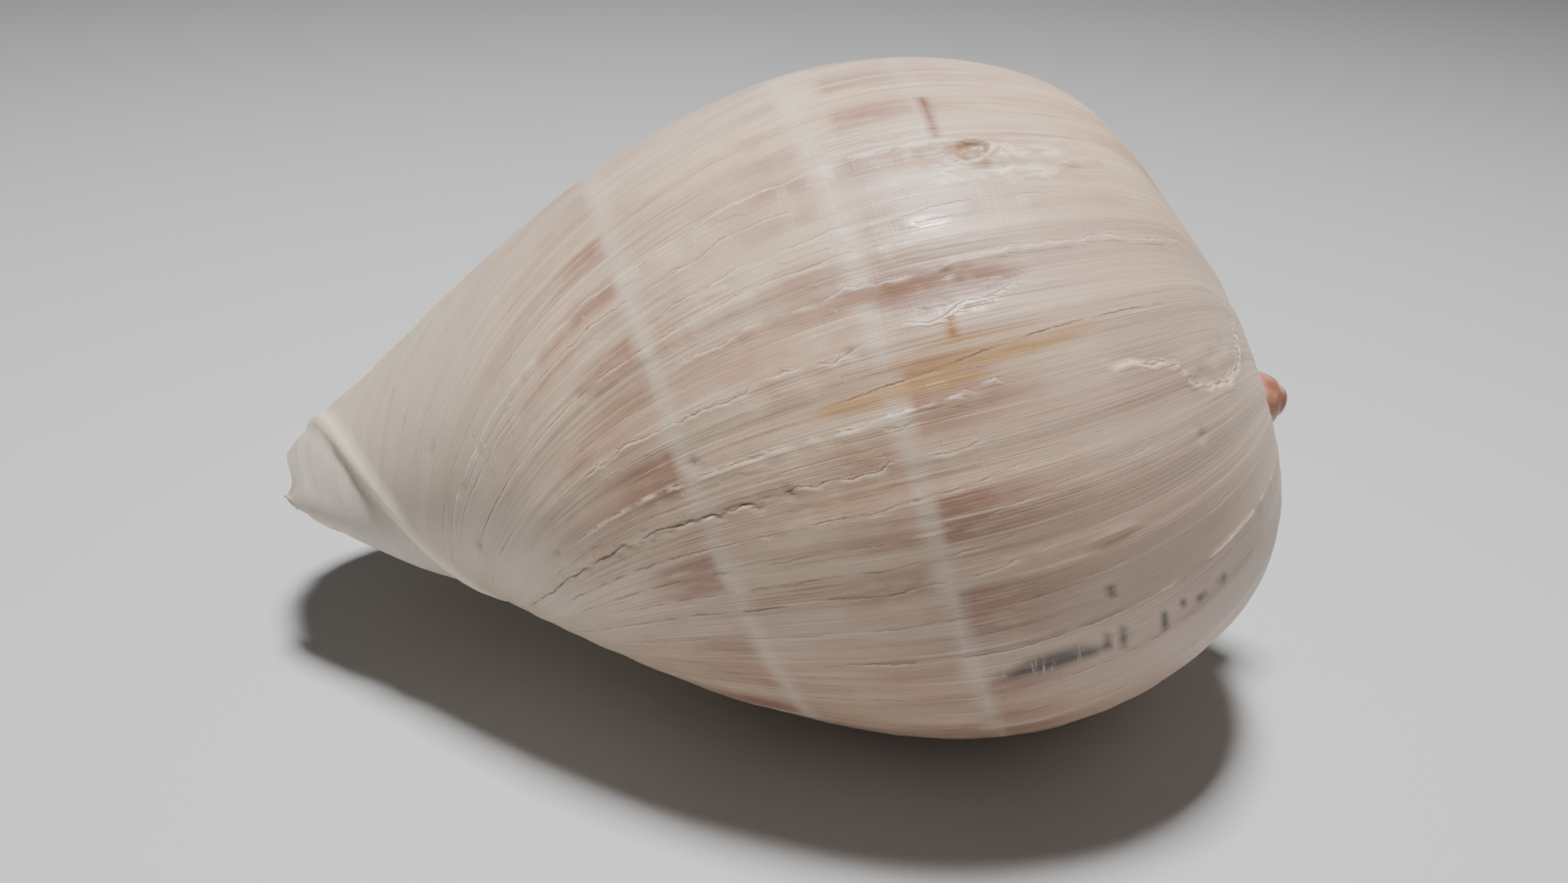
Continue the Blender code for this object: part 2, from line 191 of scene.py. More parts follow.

# %% [markdown]
# ## Growth steps and the healed scar
#
# The height of the surface over the smooth form is a function of age and of level, the way in
# millimetres down the outline.  Each rest in the snail's growth left a low step along a growth
# line, raised on the older side.  Some are ragged, where a broken lip was mended.  A step is
# listed with its age, height, first and last level, raggedness, and how dark its crack and how
# bright its worn edge are; that bright edge is partly wear and partly a painted highlight.

# %% Growth steps
STEPS = [
    (112.0, 0.16, 40.0, 240.0, 0.4, 0.2, 0.3), (120.5, 0.14, 60.0, 235.0, 0.4, 0.3, 0.2),
    (126.8, 0.20, 90.0, 200.0, 0.3, 0.9, 0.3), (131.6, 0.12, 110.0, 240.0, 0.3, 0.5, 0.1),
    (136.8, 0.50, 96.0, 240.0, 0.6, 0.5, 1.3), (142.4, 0.30, 122.0, 236.0, 0.8, 0.9, 0.4),
    (147.9, 0.26, 78.0, 168.0, 0.6, 0.7, 0.5), (151.8, 0.26, 108.0, 232.0, 0.4, 0.9, 0.4),
    (156.9, 0.26, 44.0, 166.0, 0.8, 0.6, 0.6), (160.6, 0.16, 150.0, 240.0, 0.4, 0.5, 0.2),
    (163.9, 0.38, 84.0, 124.0, 0.9, 0.9, 0.9), (165.2, 0.34, 122.0, 200.0, 0.9, 1.0, 0.6),
    (170.9, 0.14, 62.0, 138.0, 0.1, 1.0, 0.1), (174.7, 0.32, 98.0, 205.0, 0.3, 0.7, 0.8),
    (178.2, 0.12, 120.0, 215.0, 0.3, 0.5, 0.1), (181.2, 0.34, 104.0, 236.0, 0.8, 1.0, 0.4),
    (186.6, 0.20, 96.0, 215.0, 0.3, 0.8, 0.2), (191.4, 0.16, 60.0, 220.0, 0.3, 0.5, 0.2),
    (195.6, 0.14, 100.0, 200.0, 0.3, 0.6, 0.1), (199.5, 0.22, 96.0, 235.0, 0.5, 0.6, 0.3),
    (206.0, 0.18, 40.0, 210.0, 0.4, 0.4, 0.2), (213.0, 0.36, 30.0, 150.0, 0.2, 0.2, 0.7),
    (224.0, 0.16, 40.0, 220.0, 0.4, 0.4, 0.2), (236.0, 0.22, 60.0, 235.0, 0.5, 0.5, 0.3),
    (251.0, 0.20, 40.0, 240.0, 0.5, 0.4, 0.2), (268.0, 0.18, 60.0, 220.0, 0.4, 0.4, 0.2),
    (100.0, 0.20, 40.0, 240.0, 0.5, 0.5, 0.3), (86.0, 0.24, 60.0, 240.0, 0.6, 0.6, 0.5),
    (71.0, 0.20, 40.0, 230.0, 0.5, 0.5, 0.3), (55.0, 0.26, 60.0, 240.0, 0.6, 0.7, 0.5),
    (38.0, 0.18, 40.0, 220.0, 0.4, 0.4, 0.2), (22.0, 0.24, 50.0, 240.0, 0.5, 0.6, 0.4),
    (9.0, 0.20, 40.0, 235.0, 0.4, 0.4, 0.3),
]
SCAR_LEVELS = (28.0, 33.0, 37.0, 40.0, 49.0, 58.0, 62.5, 65.0, 70.0, 77.0, 86.0)
SCAR_AGES = (170.0, 171.4, 178.4, 182.2, 184.4, 183.1, 181.0, 177.7, 176.6, 175.1, 174.0)
print("growth steps: %d, the highest %.2f mm" % (len(STEPS), max(step[1] for step in STEPS)))

# %% [markdown]
# ## How the lines wander
#
# No growth line is even.  A sum of sines with random periods makes it wander, and a seed gives
# the same curve at each run.  Each curve is listed with its amount, shortest and longest wave,
# number of waves and seed.  A step also drifts near the shoulder and breaks off in places.

# %% Step lines
WAVES = {
    "jag": (0.24, 1.6, 7.0, 11, 60), "bend": (0.5, 9.0, 50.0, 6, 4),
    "gap": (0.7, 5.0, 45.0, 8, 90), "scar": (0.4, 2.0, 9.0, 9, 24),
    "hair line": (0.035, 0.9, 2.2, 14, 5), "hair strength": (0.4, 25.0, 70.0, 4, 6),
    "growth line": (0.065, 3.0, 8.0, 8, 7), "swell": (0.18, 9.0, 22.0, 5, 8),
    "long crack": (0.9, 3.0, 11.0, 10, 20), "scrape": (0.6, 3.0, 10.0, 6, 25),
    "ruffle": (1.1, 5.0, 15.0, 6, 21), "ruffle height": (0.4, 4.0, 14.0, 7, 27),
    "rim": (0.3, 2.0, 7.0, 7, 28), "crater": (0.3, 1.1, 4.0, 8, 23),
    "low blotch": (0.9, 7.0, 20.0, 7, 61), "middle blotch": (0.9, 6.0, 22.0, 7, 64),
    "high blotch": (0.9, 9.0, 30.0, 7, 67),
}
STEP_DRIFT = 3.2
DRIFT_LEVELS = (136.0, 80.0)
DRIFT_FROM = (152.0, 164.0)
DRIFT_TO = (215.0, 200.0)
STEP_ENDS = 9.0
SHOWN_ALWAYS = 0.35
SHOWN_BY_TONE = 0.45
SCAR_TOP = (29.0, 34.0)
SCAR_FOOT = (84.0, 75.0)
FAR_BEHIND = 40.0


def wander(x, name, index=0):
    """A named random curve: sines with random periods between two lengths."""
    amount, shortest, longest, count, seed = WAVES[name]
    picks = np.random.default_rng(seed + index)
    periods = shortest * (longest / shortest) ** picks.random(count)
    phases = picks.random(count) * TURN
    total = np.zeros_like(x)
    for period, phase in zip(periods, phases):
        total += np.sin(x * TURN / period + phase)
    return amount * total / math.sqrt(count)


def step_line(index, level):
    """Age at which a step lies at each level, and how much of the step is there."""
    at_age, height, top, foot, ragged, dark, bright = STEPS[index]
    drift = STEP_DRIFT * ramp(level, *DRIFT_LEVELS)
    drift = drift * ramp(at_age, *DRIFT_FROM) * ramp(at_age, *DRIFT_TO)
    jag = wander(level, "jag", index) + wander(level, "bend")
    window = ramp(level, top, top + STEP_ENDS) * ramp(level, foot, foot - STEP_ENDS)
    shown = SHOWN_ALWAYS + SHOWN_BY_TONE * max(dark, bright)
    window = window * smoothstep(shown + wander(level, "gap", index))
    return at_age - drift + ragged * jag, window


def scar_line(level):
    """Age of the healed break near the shoulder at each level, and how much of it is there."""
    line = np.interp(level, SCAR_LEVELS, SCAR_AGES) + wander(level, "scar")
    return line, ramp(level, *SCAR_TOP) * ramp(level, *SCAR_FOOT)


def raised(past, width, fade):
    """A step up across a width, which fades away behind its edge."""
    return smoothstep(past / width + 0.5) * np.exp(-np.clip(past, 0.0, FAR_BEHIND) / fade)


print("random curves:", len(WAVES))

# %% [markdown]
# ## The relief that growth left
#
# Hair-fine lines, wider lines and low swells lie under the steps, and the surface is calmer
# near the siphon end.  The scar is a rim with a sunken side, where the lip broke and healed.

# %% Growth relief
CALM = 0.6
CALM_LEVELS = (190.0, 230.0)
HAIR_STRENGTH = 0.6
SWELL_SLANT = 0.01
STEP_RISE = 0.55
STEP_FADE = 3.2
SCAR_HEIGHT = 0.9
SCAR_DEPTH = 0.45
SCAR_RISE = 0.8
RIM_FADE = 4.0
SUNK_FADE = 2.5


def growth_relief(age, level):
    """Height in millimetres of growth lines, swells, steps and the scar."""
    height = wander(age, "hair line") * (HAIR_STRENGTH + wander(level, "hair strength"))
    height += wander(age, "growth line")
    height *= 1.0 - CALM * ramp(level, *CALM_LEVELS)
    height += wander(age + SWELL_SLANT * level, "swell")
    for index, step in enumerate(STEPS):
        line, window = step_line(index, level)
        height += step[1] * window * raised(age - line, STEP_RISE, STEP_FADE)
    line, window = scar_line(level)
    height += SCAR_HEIGHT * window * raised(age - line, SCAR_RISE, RIM_FADE)
    return height - SCAR_DEPTH * window * raised(line - age, SCAR_RISE, SUNK_FADE)


print("scar: rim of %.2f mm, sunk side of %.2f mm" % (SCAR_HEIGHT, SCAR_DEPTH))

# %% [markdown]
# ## Pits, the crater and the rough place
#
# Pits were bored or chipped after growth.  Each has an age, a level, a half width and a depth in
# millimetres, and the last three lie in the scar.  The crater near the crown has a rim and lies
# in a rough place with wavy ridges.  A place is an age, a level, and half its extent in both.

# %% Damage
PITS = [
    (119.1, 228.0, 0.9, 0.8), (151.2, 230.0, 1.1, 0.8), (152.0, 184.1, 1.0, 0.7),
    (172.3, 165.1, 1.0, 0.7), (173.4, 206.9, 0.9, 0.6), (181.0, 146.8, 0.9, 0.7),
    (165.0, 127.8, 0.8, 0.6), (190.5, 62.0, 1.1, 0.6), (157.3, 107.6, 0.9, 0.6),
    (144.6, 131.0, 0.8, 0.4), (150.5, 151.5, 1.0, 0.5), (148.8, 149.0, 0.9, 0.5),
    (178.6, 52.0, 2.0, 0.5), (180.6, 57.5, 1.5, 0.5), (177.2, 46.5, 1.6, 0.5),
]
DEGREE_MM = 1.25
PLACE_EDGE = 1.5
CRACK_AGE = 181.0
CRACK_TOP = (146.0, 154.0)
CRACK_FOOT = (236.0, 228.0)
CRACK_WIDTH = 0.4
CRACK_DEPTH = 0.5
ROUGH_PLACE = (141.0, 86.0, 4.6, 19.0)
ROUGH_DEPTH = 0.35
RUFFLE_SPACING = 2.6
RUFFLE_STRENGTH = 0.6
RUFFLE_HEIGHT = 0.9
CRATER = (139.0, 95.2, 1.9, 4.2)
CRATER_DEPTH = 1.6
CRATER_RIM = (139.3, 95.2, 2.9, 5.8)
RIM_HEIGHT = 0.6
SCRAPE = (160.2, 108.0, 2.4, 14.5)
SCRAPE_DEPTH = 0.32
CRESCENT_AGE = 198.6
CRESCENT_LEVEL = 86.0
CRESCENT_BOW = 0.02
CRESCENT_WIDTH = 0.5
CRESCENT_REACH = 5.0
CRESCENT_HEIGHT = 0.35


def patch(age, level, at_age, at_level, half_age, half_level):
    """A soft-edged oval, 1 in its middle and 0 outside, placed on the growth grid."""
    reach = ((age - at_age) / half_age) ** 2 + ((level - at_level) / half_level) ** 2
    return smoothstep(PLACE_EDGE - reach)


def damage(age, level, size):
    """Height in millimetres of the long crack, rough place, crater, scrape, pits and crescent."""
    crack = hump(age, CRACK_AGE + wander(level, "long crack"), CRACK_WIDTH)
    height = -CRACK_DEPTH * crack * ramp(level, *CRACK_TOP) * ramp(level, *CRACK_FOOT)
    ruffle = (age + wander(level, "ruffle")) / RUFFLE_SPACING
    crest = np.abs(2.0 * (ruffle - np.floor(ruffle)) - 1.0) ** 2
    crest = RUFFLE_HEIGHT * (RUFFLE_STRENGTH + wander(level, "ruffle height")) * crest
    height += patch(age, level, *ROUGH_PLACE) * (crest - ROUGH_DEPTH)
    height += RIM_HEIGHT * patch(age, level, *CRATER_RIM) * (1.0 + wander(level, "rim"))
    uneven = 1.0 + wander(level + age, "crater")
    height -= CRATER_DEPTH * patch(age, level, *CRATER) * uneven
    at_age, at_level, half_age, half_level = SCRAPE
    half_age = half_age + wander(level, "scrape")
    height -= SCRAPE_DEPTH * patch(age, level, at_age, at_level, half_age, half_level)
    for at_age, at_level, width, depth in PITS:
        reach = ((age - at_age) * DEGREE_MM * size) ** 2 + (level - at_level) ** 2
        height -= depth * np.exp(-reach / width ** 2)
    bowed = age - CRESCENT_AGE - CRESCENT_BOW * (level - CRESCENT_LEVEL) ** 2
    crescent = hump(bowed, 0.0, CRESCENT_WIDTH) * hump(level, CRESCENT_LEVEL, CRESCENT_REACH)
    return height + CRESCENT_HEIGHT * crescent


print("pits: %d, crater %.1f mm deep" % (len(PITS), CRATER_DEPTH))

# %% [markdown]
# ## The ridge, the lip and the worn corner
#
# The ridge above the siphon band stands up as a crest with a groove below it.  The lip is
# rounded and the corner of the siphon end is worn.  Small whorls have low relief, and it fades
# out at the seam, at the end of the band and at the oldest rows.

# %% Relief
SIZE_RADIUS = 70.0
RELIEF_SIZES = (0.15, 1.1)
SEAM_LEVELS = (6.0, 26.0)
OLDEST_AGES = (350.0, 315.0)
CALMED_SHARE = 0.5
RIDGE_CALM = (RIDGE_LEVEL - 4.0, RIDGE_LEVEL + 2.0)
RIDGE_CREST = (RIDGE_LEVEL - 0.6, 1.5)
RIDGE_GROOVE = (RIDGE_LEVEL + 3.2, 1.5)
RIDGE_HEIGHT = 1.0
GROOVE_DEPTH = 0.35
BAND_FADE = (BAND_END_LEVEL, BAND_END_LEVEL - 6.0)
LIP_TOP = (8.0, 28.0)
LIP_FOOT = (BAND_END_LEVEL, BAND_END_LEVEL - 9.0)
LIP_REACH = 1.1
LIP_ROUNDING = 0.9
WORN_AGE = 11.0
WORN_LEVELS = (BAND_END_LEVEL - 1.0, 6.0)
WORN_DEPTH = 2.2


def relief(age, level, radius):
    """Height in millimetres over the smooth form."""
    size = np.clip(radius / SIZE_RADIUS, *RELIEF_SIZES)
    height = growth_relief(age, level) + damage(age, level, size)
    height *= ramp(level, *SEAM_LEVELS) * size
    height *= 1.0 - CALMED_SHARE * ramp(level, *RIDGE_CALM)
    height += RIDGE_HEIGHT * hump(level, *RIDGE_CREST)
    height -= GROOVE_DEPTH * hump(level, *RIDGE_GROOVE)
    height *= ramp(level, *BAND_FADE) * ramp(age, *OLDEST_AGES)
    lip = np.clip(1.0 - age / LIP_REACH, 0.0, 1.0)
    rounding = (1.0 - np.sqrt(1.0 - lip ** 2)) * ramp(level, *LIP_TOP) * ramp(level, *LIP_FOOT)
    corner = hump(age, 0.0, WORN_AGE) * hump(level, *WORN_LEVELS)
    return height - LIP_ROUNDING * rounding - WORN_DEPTH * corner


print("ridge: %.1f mm high, corner worn by %.1f mm" % (RIDGE_HEIGHT, WORN_DEPTH))

# %% [markdown]
# ## The rows of the outside
#
# The rows of the outside are growth lines.  They stand closer together at each step, at the lip
# and on the side that the photo shows.  The seam side of each row is seated on the whorl before
# it, as the real lip is when the snail glues it down.

# %% Rows of the last whorl
TURN_STEPS = 320
AGE_GRAIN = 0.05
VIEW_FROM = (105.0, 117.0)
VIEW_TO = (214.0, 200.0)
NEED_IN_VIEW = 2.2
NEED_AT_LIP = 8.0
LIP_NEED_WIDTH = 0.9
NEED_AT_STEP = 1.2
NEED_BY_HEIGHT = 5.0
STEP_NEED_WIDTH = 1.1
MIDDLE_POINT = 60


def row_ages():
    """Ages in degrees of the rows of the last whorl, closer together at the steps and the lip."""
    fine = np.arange(0.0, 360.0, AGE_GRAIN)
    need = 1.0 + NEED_IN_VIEW * ramp(fine, *VIEW_FROM) * ramp(fine, *VIEW_TO)
    need += NEED_AT_LIP * hump(fine, 0.0, LIP_NEED_WIDTH)
    for step in STEPS:
        need += (NEED_AT_STEP + NEED_BY_HEIGHT * step[1]) * hump(fine, step[0], STEP_NEED_WIDTH)
    total = np.concatenate([[0.0], np.cumsum(need)])
    places = np.linspace(0.0, total[-1], TURN_STEPS + 1)
    ages = np.interp(places, total, np.append(fine, 360.0))
    ages[-1] = 360.0
    return ages


def seated(row, age_radians):
    """Seat the first points of a row on the whorl before it."""
    seat = carry(outline[:SUTURE_STEP + 1], age_radians + TURN)[SUTURE_STEP]
    share = (1.0 - np.arange(SUTURE_STEP) / SUTURE_STEP) ** 2
    gap_radius = seat[0] - row[0, 0]
    gap_height = seat[2] - row[0, 2]
    row[:SUTURE_STEP, 0] += share * gap_radius
    row[:SUTURE_STEP, 2] += share * gap_height
    return row


def last_whorl(ages):
    """Grid of positions of the last whorl, with its relief, in millimetres."""
    polar = np.array([seated(carry(outline, math.radians(age)), math.radians(age)) for age in ages])
    smooth = to_space(polar)
    along = np.gradient(smooth, axis=1)
    across = np.gradient(smooth, axis=0)
    normal = np.cross(along, across)
    normal /= np.maximum(np.linalg.norm(normal, axis=2, keepdims=True), 1e-9)
    middle = (len(ages) // 2, MIDDLE_POINT)
    outward = np.sign(np.sum(normal[middle] * smooth[middle] * (1, 1, 0)))
    age_grid = np.repeat(np.array(ages)[:, None], len(outline), axis=1)
    level_grid = np.repeat(levels[None, :], len(ages), axis=0)
    height = relief(age_grid, level_grid, polar[..., 0])
    return smooth + normal * outward * height[..., None], age_grid, level_grid


print("rows: %d of %d points" % (TURN_STEPS + 1, len(outline)))

# %% [markdown]
# ## A builder of closed meshes
#
# Every form here is made of rows or loops of points with faces between them.  One small class
# collects them and closes the mesh, because only closed meshes can be cut and joined.

# %% Mesh builder
WELD = 1e-4


class SolidBuilder:
    """Collects rows of points and joins them into one closed mesh."""

    def __init__(self):
        self.mesh = bmesh.new()

    def add_row(self, points):
        """Add a row of vertices."""
        return [self.mesh.verts.new(point) for point in points]

    def add_face(self, corners):
        """Add a face, leaving out corners that fall on one another."""
        kept = []
        for vert in corners:
            if all((vert.co - other.co).length > WELD for other in kept):
                kept.append(vert)
        if len(kept) > 2:
            self.mesh.faces.new(kept)

    def bridge(self, row_a, row_b):
        """Faces between two rows of equal length."""
        for k in range(len(row_a) - 1):
            self.add_face([row_a[k], row_a[k + 1], row_b[k + 1], row_b[k]])

    def bridge_loops(self, loop_a, loop_b):
        """Faces between two closed loops of equal length."""
        self.bridge(loop_a + loop_a[:1], loop_b + loop_b[:1])

    def zip_rows(self, row_a, row_b):
        """Triangles between two rows of unlike length."""
        i = 0
        j = 0
        while i < len(row_a) - 1 or j < len(row_b) - 1:
            share_a = (i + 1) / max(len(row_a) - 1, 1)
            share_b = (j + 1) / max(len(row_b) - 1, 1)
            if j == len(row_b) - 1 or (i < len(row_a) - 1 and share_a <= share_b):
                self.add_face([row_a[i], row_a[i + 1], row_b[j]])
                i += 1
            else:
                self.add_face([row_a[i], row_b[j + 1], row_b[j]])
                j += 1

    def fan(self, loop):
        """Close a loop with triangles round its middle."""
        middle = sum((np.array(vert.co) for vert in loop), np.zeros(3)) / len(loop)
        centre = self.mesh.verts.new(middle)
        for k, vert in enumerate(loop):
            self.add_face([vert, loop[(k + 1) % len(loop)], centre])

    def finish(self, name, matrix):
        """Weld, triangulate, turn the faces outwards and return a new object in metres."""
        bmesh.ops.remove_doubles(self.mesh, verts=self.mesh.verts, dist=WELD)
        bmesh.ops.triangulate(self.mesh, faces=self.mesh.faces)
        bmesh.ops.recalc_face_normals(self.mesh, faces=self.mesh.faces)
        bmesh.ops.transform(self.mesh, matrix=matrix, verts=self.mesh.verts)
        data = bpy.data.meshes.new(name)
        self.mesh.to_mesh(data)
        self.mesh.free()
        return bpy.data.objects.new(name, data)


def tube(name, loops, matrix):
    """A closed form through loops of points of equal length, with both ends closed."""
    solid = SolidBuilder()
    rows = [solid.add_row(points) for points in loops]
    for before, after in zip(rows[:-1], rows[1:]):
        solid.bridge_loops(before, after)
    solid.fan(rows[0])
    solid.fan(rows[-1])
    return solid.finish(name, matrix)


print("points closer than %.4f mm become one" % WELD)

# %% [markdown]
# ## The outer form in its resting pose
#
# The shell lies on its opening, touching the ground with its belly and its lip.  The same turn
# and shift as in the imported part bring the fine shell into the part's frame.

# %% Build the outside
SPIRE_TURNS = 1
AXIS_FOOT = -172.0
AXIS_TOP = -2.0
REST_SPIN = -28.1
REST_PITCH = -11.1
REST_SHIFT_MM = (101.587, -14.837, 67.554)


def resting_matrix():
    """Lay the shell down: its axis to +X, turned about it, pitched, scaled to metres, shifted."""
    to_x = Matrix(((0.0, 0.0, 1.0), (0.0, -1.0, 0.0), (1.0, 0.0, 0.0))).to_4x4()
    spin = Matrix.Rotation(math.radians(REST_SPIN), 4, "X")
    pitch = Matrix.Rotation(math.radians(REST_PITCH), 4, "Y")
    shift = Matrix.Translation(Vector(REST_SHIFT_MM) * MM)
    return shift @ pitch @ spin @ to_x @ Matrix.Scale(MM, 4)


def build_outside(matrix):
    """The full outer form, solid to the axis, with a step where the lip ends."""
    solid = SolidBuilder()
    ages = row_ages()
    grid, age_grid, level_grid = last_whorl(ages)
    foot = np.array([[0.0, 0.0, AXIS_FOOT]])
    top = np.array([[0.0, 0.0, AXIS_TOP]])
    first = [solid.add_row(np.concatenate([points, foot])) for points in grid]
    turns = [first]
    for turn in range(1, SPIRE_TURNS + 1):
        rows = []
        for age in ages:
            radians = math.radians(age) + turn * TURN
            points = to_space(seated(carry(outline, radians), radians))[:SUTURE_STEP + 1]
            if turn == SPIRE_TURNS:
                points = np.concatenate([top, points])
            rows.append(solid.add_row(points))
        turns.append(rows)
    for rows in turns:
        for before, after in zip(rows[:-1], rows[1:]):
            solid.bridge(before, after)
    solid.zip_rows(turns[0][0], turns[0][-1][SUTURE_STEP:])
    solid.zip_rows(turns[-1][0][:2], turns[-1][-1])
    return solid.finish("outside", matrix), grid, age_grid, level_grid


resting = resting_matrix()
outside, grid, age_grid, level_grid = build_outside(resting)
print("outside: %d triangles" % len(outside.data.polygons))

# %% [markdown]
# ## Curves that are cut and moved
#
# The hollow needs the outline moved inwards by the wall's thickness, and cut where it meets the
# whorl before it.  These helpers do both, and spread points evenly along what is left.

# %% Curve helpers
def offset_curve(curve, distance):
    """Move the points of a radius-height curve towards its right-hand side by a distance."""
    ahead = np.gradient(curve, axis=0)
    length = np.maximum(np.hypot(ahead[:, 0], ahead[:, 1]), 1e-9)
    side = np.stack([ahead[:, 1], -ahead[:, 0]], axis=1) / length[:, None]
    return curve + distance * side


def meeting(curve_a, curve_b):
    """First crossing of two radius-height curves, as the place on each in segments."""
    for i in range(len(curve_a) - 1):
        ahead_a = curve_a[i + 1] - curve_a[i]
        for j in range(len(curve_b) - 1):
            ahead_b = curve_b[j + 1] - curve_b[j]
            cross = ahead_a[0] * ahead_b[1] - ahead_a[1] * ahead_b[0]
            if abs(cross) < 1e-9:
                continue
            gap = curve_b[j] - curve_a[i]
            share_a = (gap[0] * ahead_b[1] - gap[1] * ahead_b[0]) / cross
            share_b = (gap[0] * ahead_a[1] - gap[1] * ahead_a[0]) / cross
            if 0.0 <= share_a < 1.0 and 0.0 <= share_b < 1.0:
                return i + share_a, j + share_b
    return 0.0, 0.0


def cut_curve(polar, start, end):
    """The stretch of a curve between two places given in segments."""
    places = np.arange(len(polar), dtype=float)
    inner = places[(places > start) & (places < end)]
    wanted = np.concatenate([[start], inner, [end]])
    return np.stack([np.interp(wanted, places, polar[:, k]) for k in range(3)], axis=1)


def resample(polar, count):
    """Spread count points evenly along a curve given as radius, angle and height."""
    step = np.hypot(np.diff(polar[:, 0]), np.diff(polar[:, 2]))
    along = np.concatenate([[0.0], np.cumsum(step)])
    places = np.linspace(0.0, along[-1], count)
    return np.stack([np.interp(places, along, polar[:, k]) for k in range(3)], axis=1)


bent = resample(np.array([(0.0, 0.0, 0.0), (1.0, 0.0, 0.0), (1.0, 0.0, 1.0)]), 5)
print("a bent line in even steps:", [round(float(v), 2) for v in bent[:, 0] + bent[:, 2]])

# %% [markdown]
# ## The hollow
#
# The hollow follows the outside at the wall's thickness and leaves the wall of the whorl before
# it.  It is a closed form of its own, so that one cut makes the thin wall everywhere.

# %% Build the hollow
WALL = 2.6
CALLUS = 0.7
HOLLOW_FRONT = -20.0
HOLLOW_END = 330.0
HOLLOW_CLEAR = 8.0
CLEAR_ANGLE = 16.0
CORNER_TRIM = 8
CORNER_GAP = 1.5
HOLLOW_FOOT = [
    (31.0, -187.0), (22.0, -186.0), (13.0, -181.0), (7.0, -173.0), (4.0, -163.0), (3.0, -150.0),
    (3.0, -138.0),
]
FOOT_STEPS = 26
HOLLOW_STEPS = 120
LIP_SIDE_POINTS = 60
OLD_SIDE_POINTS = 30
OLD_SIDE_END = 44
HOLLOW_OUTLINE_STEPS = 52
hollow_outline = basis_curve(WHORL_OUTLINE, HOLLOW_OUTLINE_STEPS)


def hollow_loop(age):
    """Outline of the hollow at an age: lip side, canal end, pillar side, wall of the old whorl."""
    scale = math.exp(-RADIAL_RATE * (math.radians(LIP_ANGLE) + age))
    lip_side = carry(hollow_outline, age)
    lip_side[:, [0, 2]] = offset_curve(lip_side[:, [0, 2]], WALL * scale)
    old_side = carry(hollow_outline, age + TURN, math.exp(-AXIAL_RATE * TURN))
    front = float(smoothstep(-age / math.radians(CLEAR_ANGLE)))
    old_side[:, [0, 2]] = offset_curve(old_side[:, [0, 2]], -CALLUS - HOLLOW_CLEAR * front)
    old_side[:, 1] -= TURN
    first, last = meeting(lip_side[:, [0, 2]], old_side[:, [0, 2]])
    trim = CORNER_GAP + CORNER_TRIM * front
    lip_side = cut_curve(lip_side, first + trim, len(lip_side) - 1)
    old_side = cut_curve(old_side, last + trim, OLD_SIDE_END)
    canal_side = carry(basis_curve(HOLLOW_FOOT, FOOT_STEPS), age)
    lip_side = lip_side[lip_side[:, 2] > canal_side[0, 2]]
    return np.concatenate([resample(lip_side, LIP_SIDE_POINTS), canal_side,
                           resample(old_side[::-1], OLD_SIDE_POINTS)])


def build_hollow(matrix):
    """The space inside the last whorl, open at the lip and tapering back round the axis."""
    steps = np.radians(np.linspace(HOLLOW_FRONT, HOLLOW_END, HOLLOW_STEPS + 1))
    return tube("hollow", [to_space(hollow_loop(age)) for age in steps], matrix)


hollow = build_hollow(resting)
print("hollow: %d faces, wall %.1f mm" % (len(hollow.data.polygons), WALL))

# %% [markdown]
# ## The siphon canal
#
# The canal leaves the hollow in front.  It is a tube of rings, each with its centre, height and
# half sizes in millimetres.

# %% Build the canal
CANAL_RINGS = [
    (16.0, -18.0, -160.0, 12.0, 12.0), (13.0, -13.0, -178.0, 12.0, 11.5),
    (9.0, -9.0, -192.0, 12.0, 10.0), (5.0, -7.0, -204.0, 12.5, 9.0),
    (4.0, -7.0, -212.0, 12.0, 8.5), (4.0, -7.0, -228.0, 12.0, 9.0),
]
CANAL_STEPS = 30
CANAL_SIDES = 48


def build_canal(matrix):
    """The siphon canal: a channel from the hollow out through the notch."""
    turns = np.arange(CANAL_SIDES) * TURN / CANAL_SIDES
    rings = []
    for centre_x, centre_y, height, half_width, half_depth in basis_curve(CANAL_RINGS, CANAL_STEPS):
        side_x = centre_x + half_width * np.cos(turns)
        side_y = centre_y + half_depth * np.sin(turns)
        rings.append(np.stack([side_x, side_y, np.full(CANAL_SIDES, height)], axis=1))
    return tube("canal", rings, matrix)


canal = build_canal(resting)
print("canal: %d faces" % len(canal.data.polygons))

# %% [markdown]
# ## The columella
#
# The columella is the pillar that the whorls turn round.  It swings out to the canal and bears
# three oblique folds, so each ring of it is a circle with a bulge at each fold.

# %% Build the columella
PILLAR_TOP = -88.0
PILLAR_FOOT = -203.0
PILLAR_RADIUS_TOP = 9.5
PILLAR_RADIUS_FOOT = 5.2
PILLAR_SWING = 8.8
PILLAR_SWING_ANGLE = 31.0
FOLD_LEVELS = (-143.0, -158.0, -173.0)
FOLD_HEIGHT = 2.6
FOLD_WIDTH = 3.6
FOLD_START = -150.0
FOLD_FADE = 0.15
PILLAR_FOLD_FOOT = 0.9
PILLAR_TIP = 0.93
PILLAR_SLOPE = 0.75
PILLAR_SLOPE_START = 0.8
TIP_NARROWING = 0.9
PILLAR_STEPS = 80
PILLAR_SIDES = 44


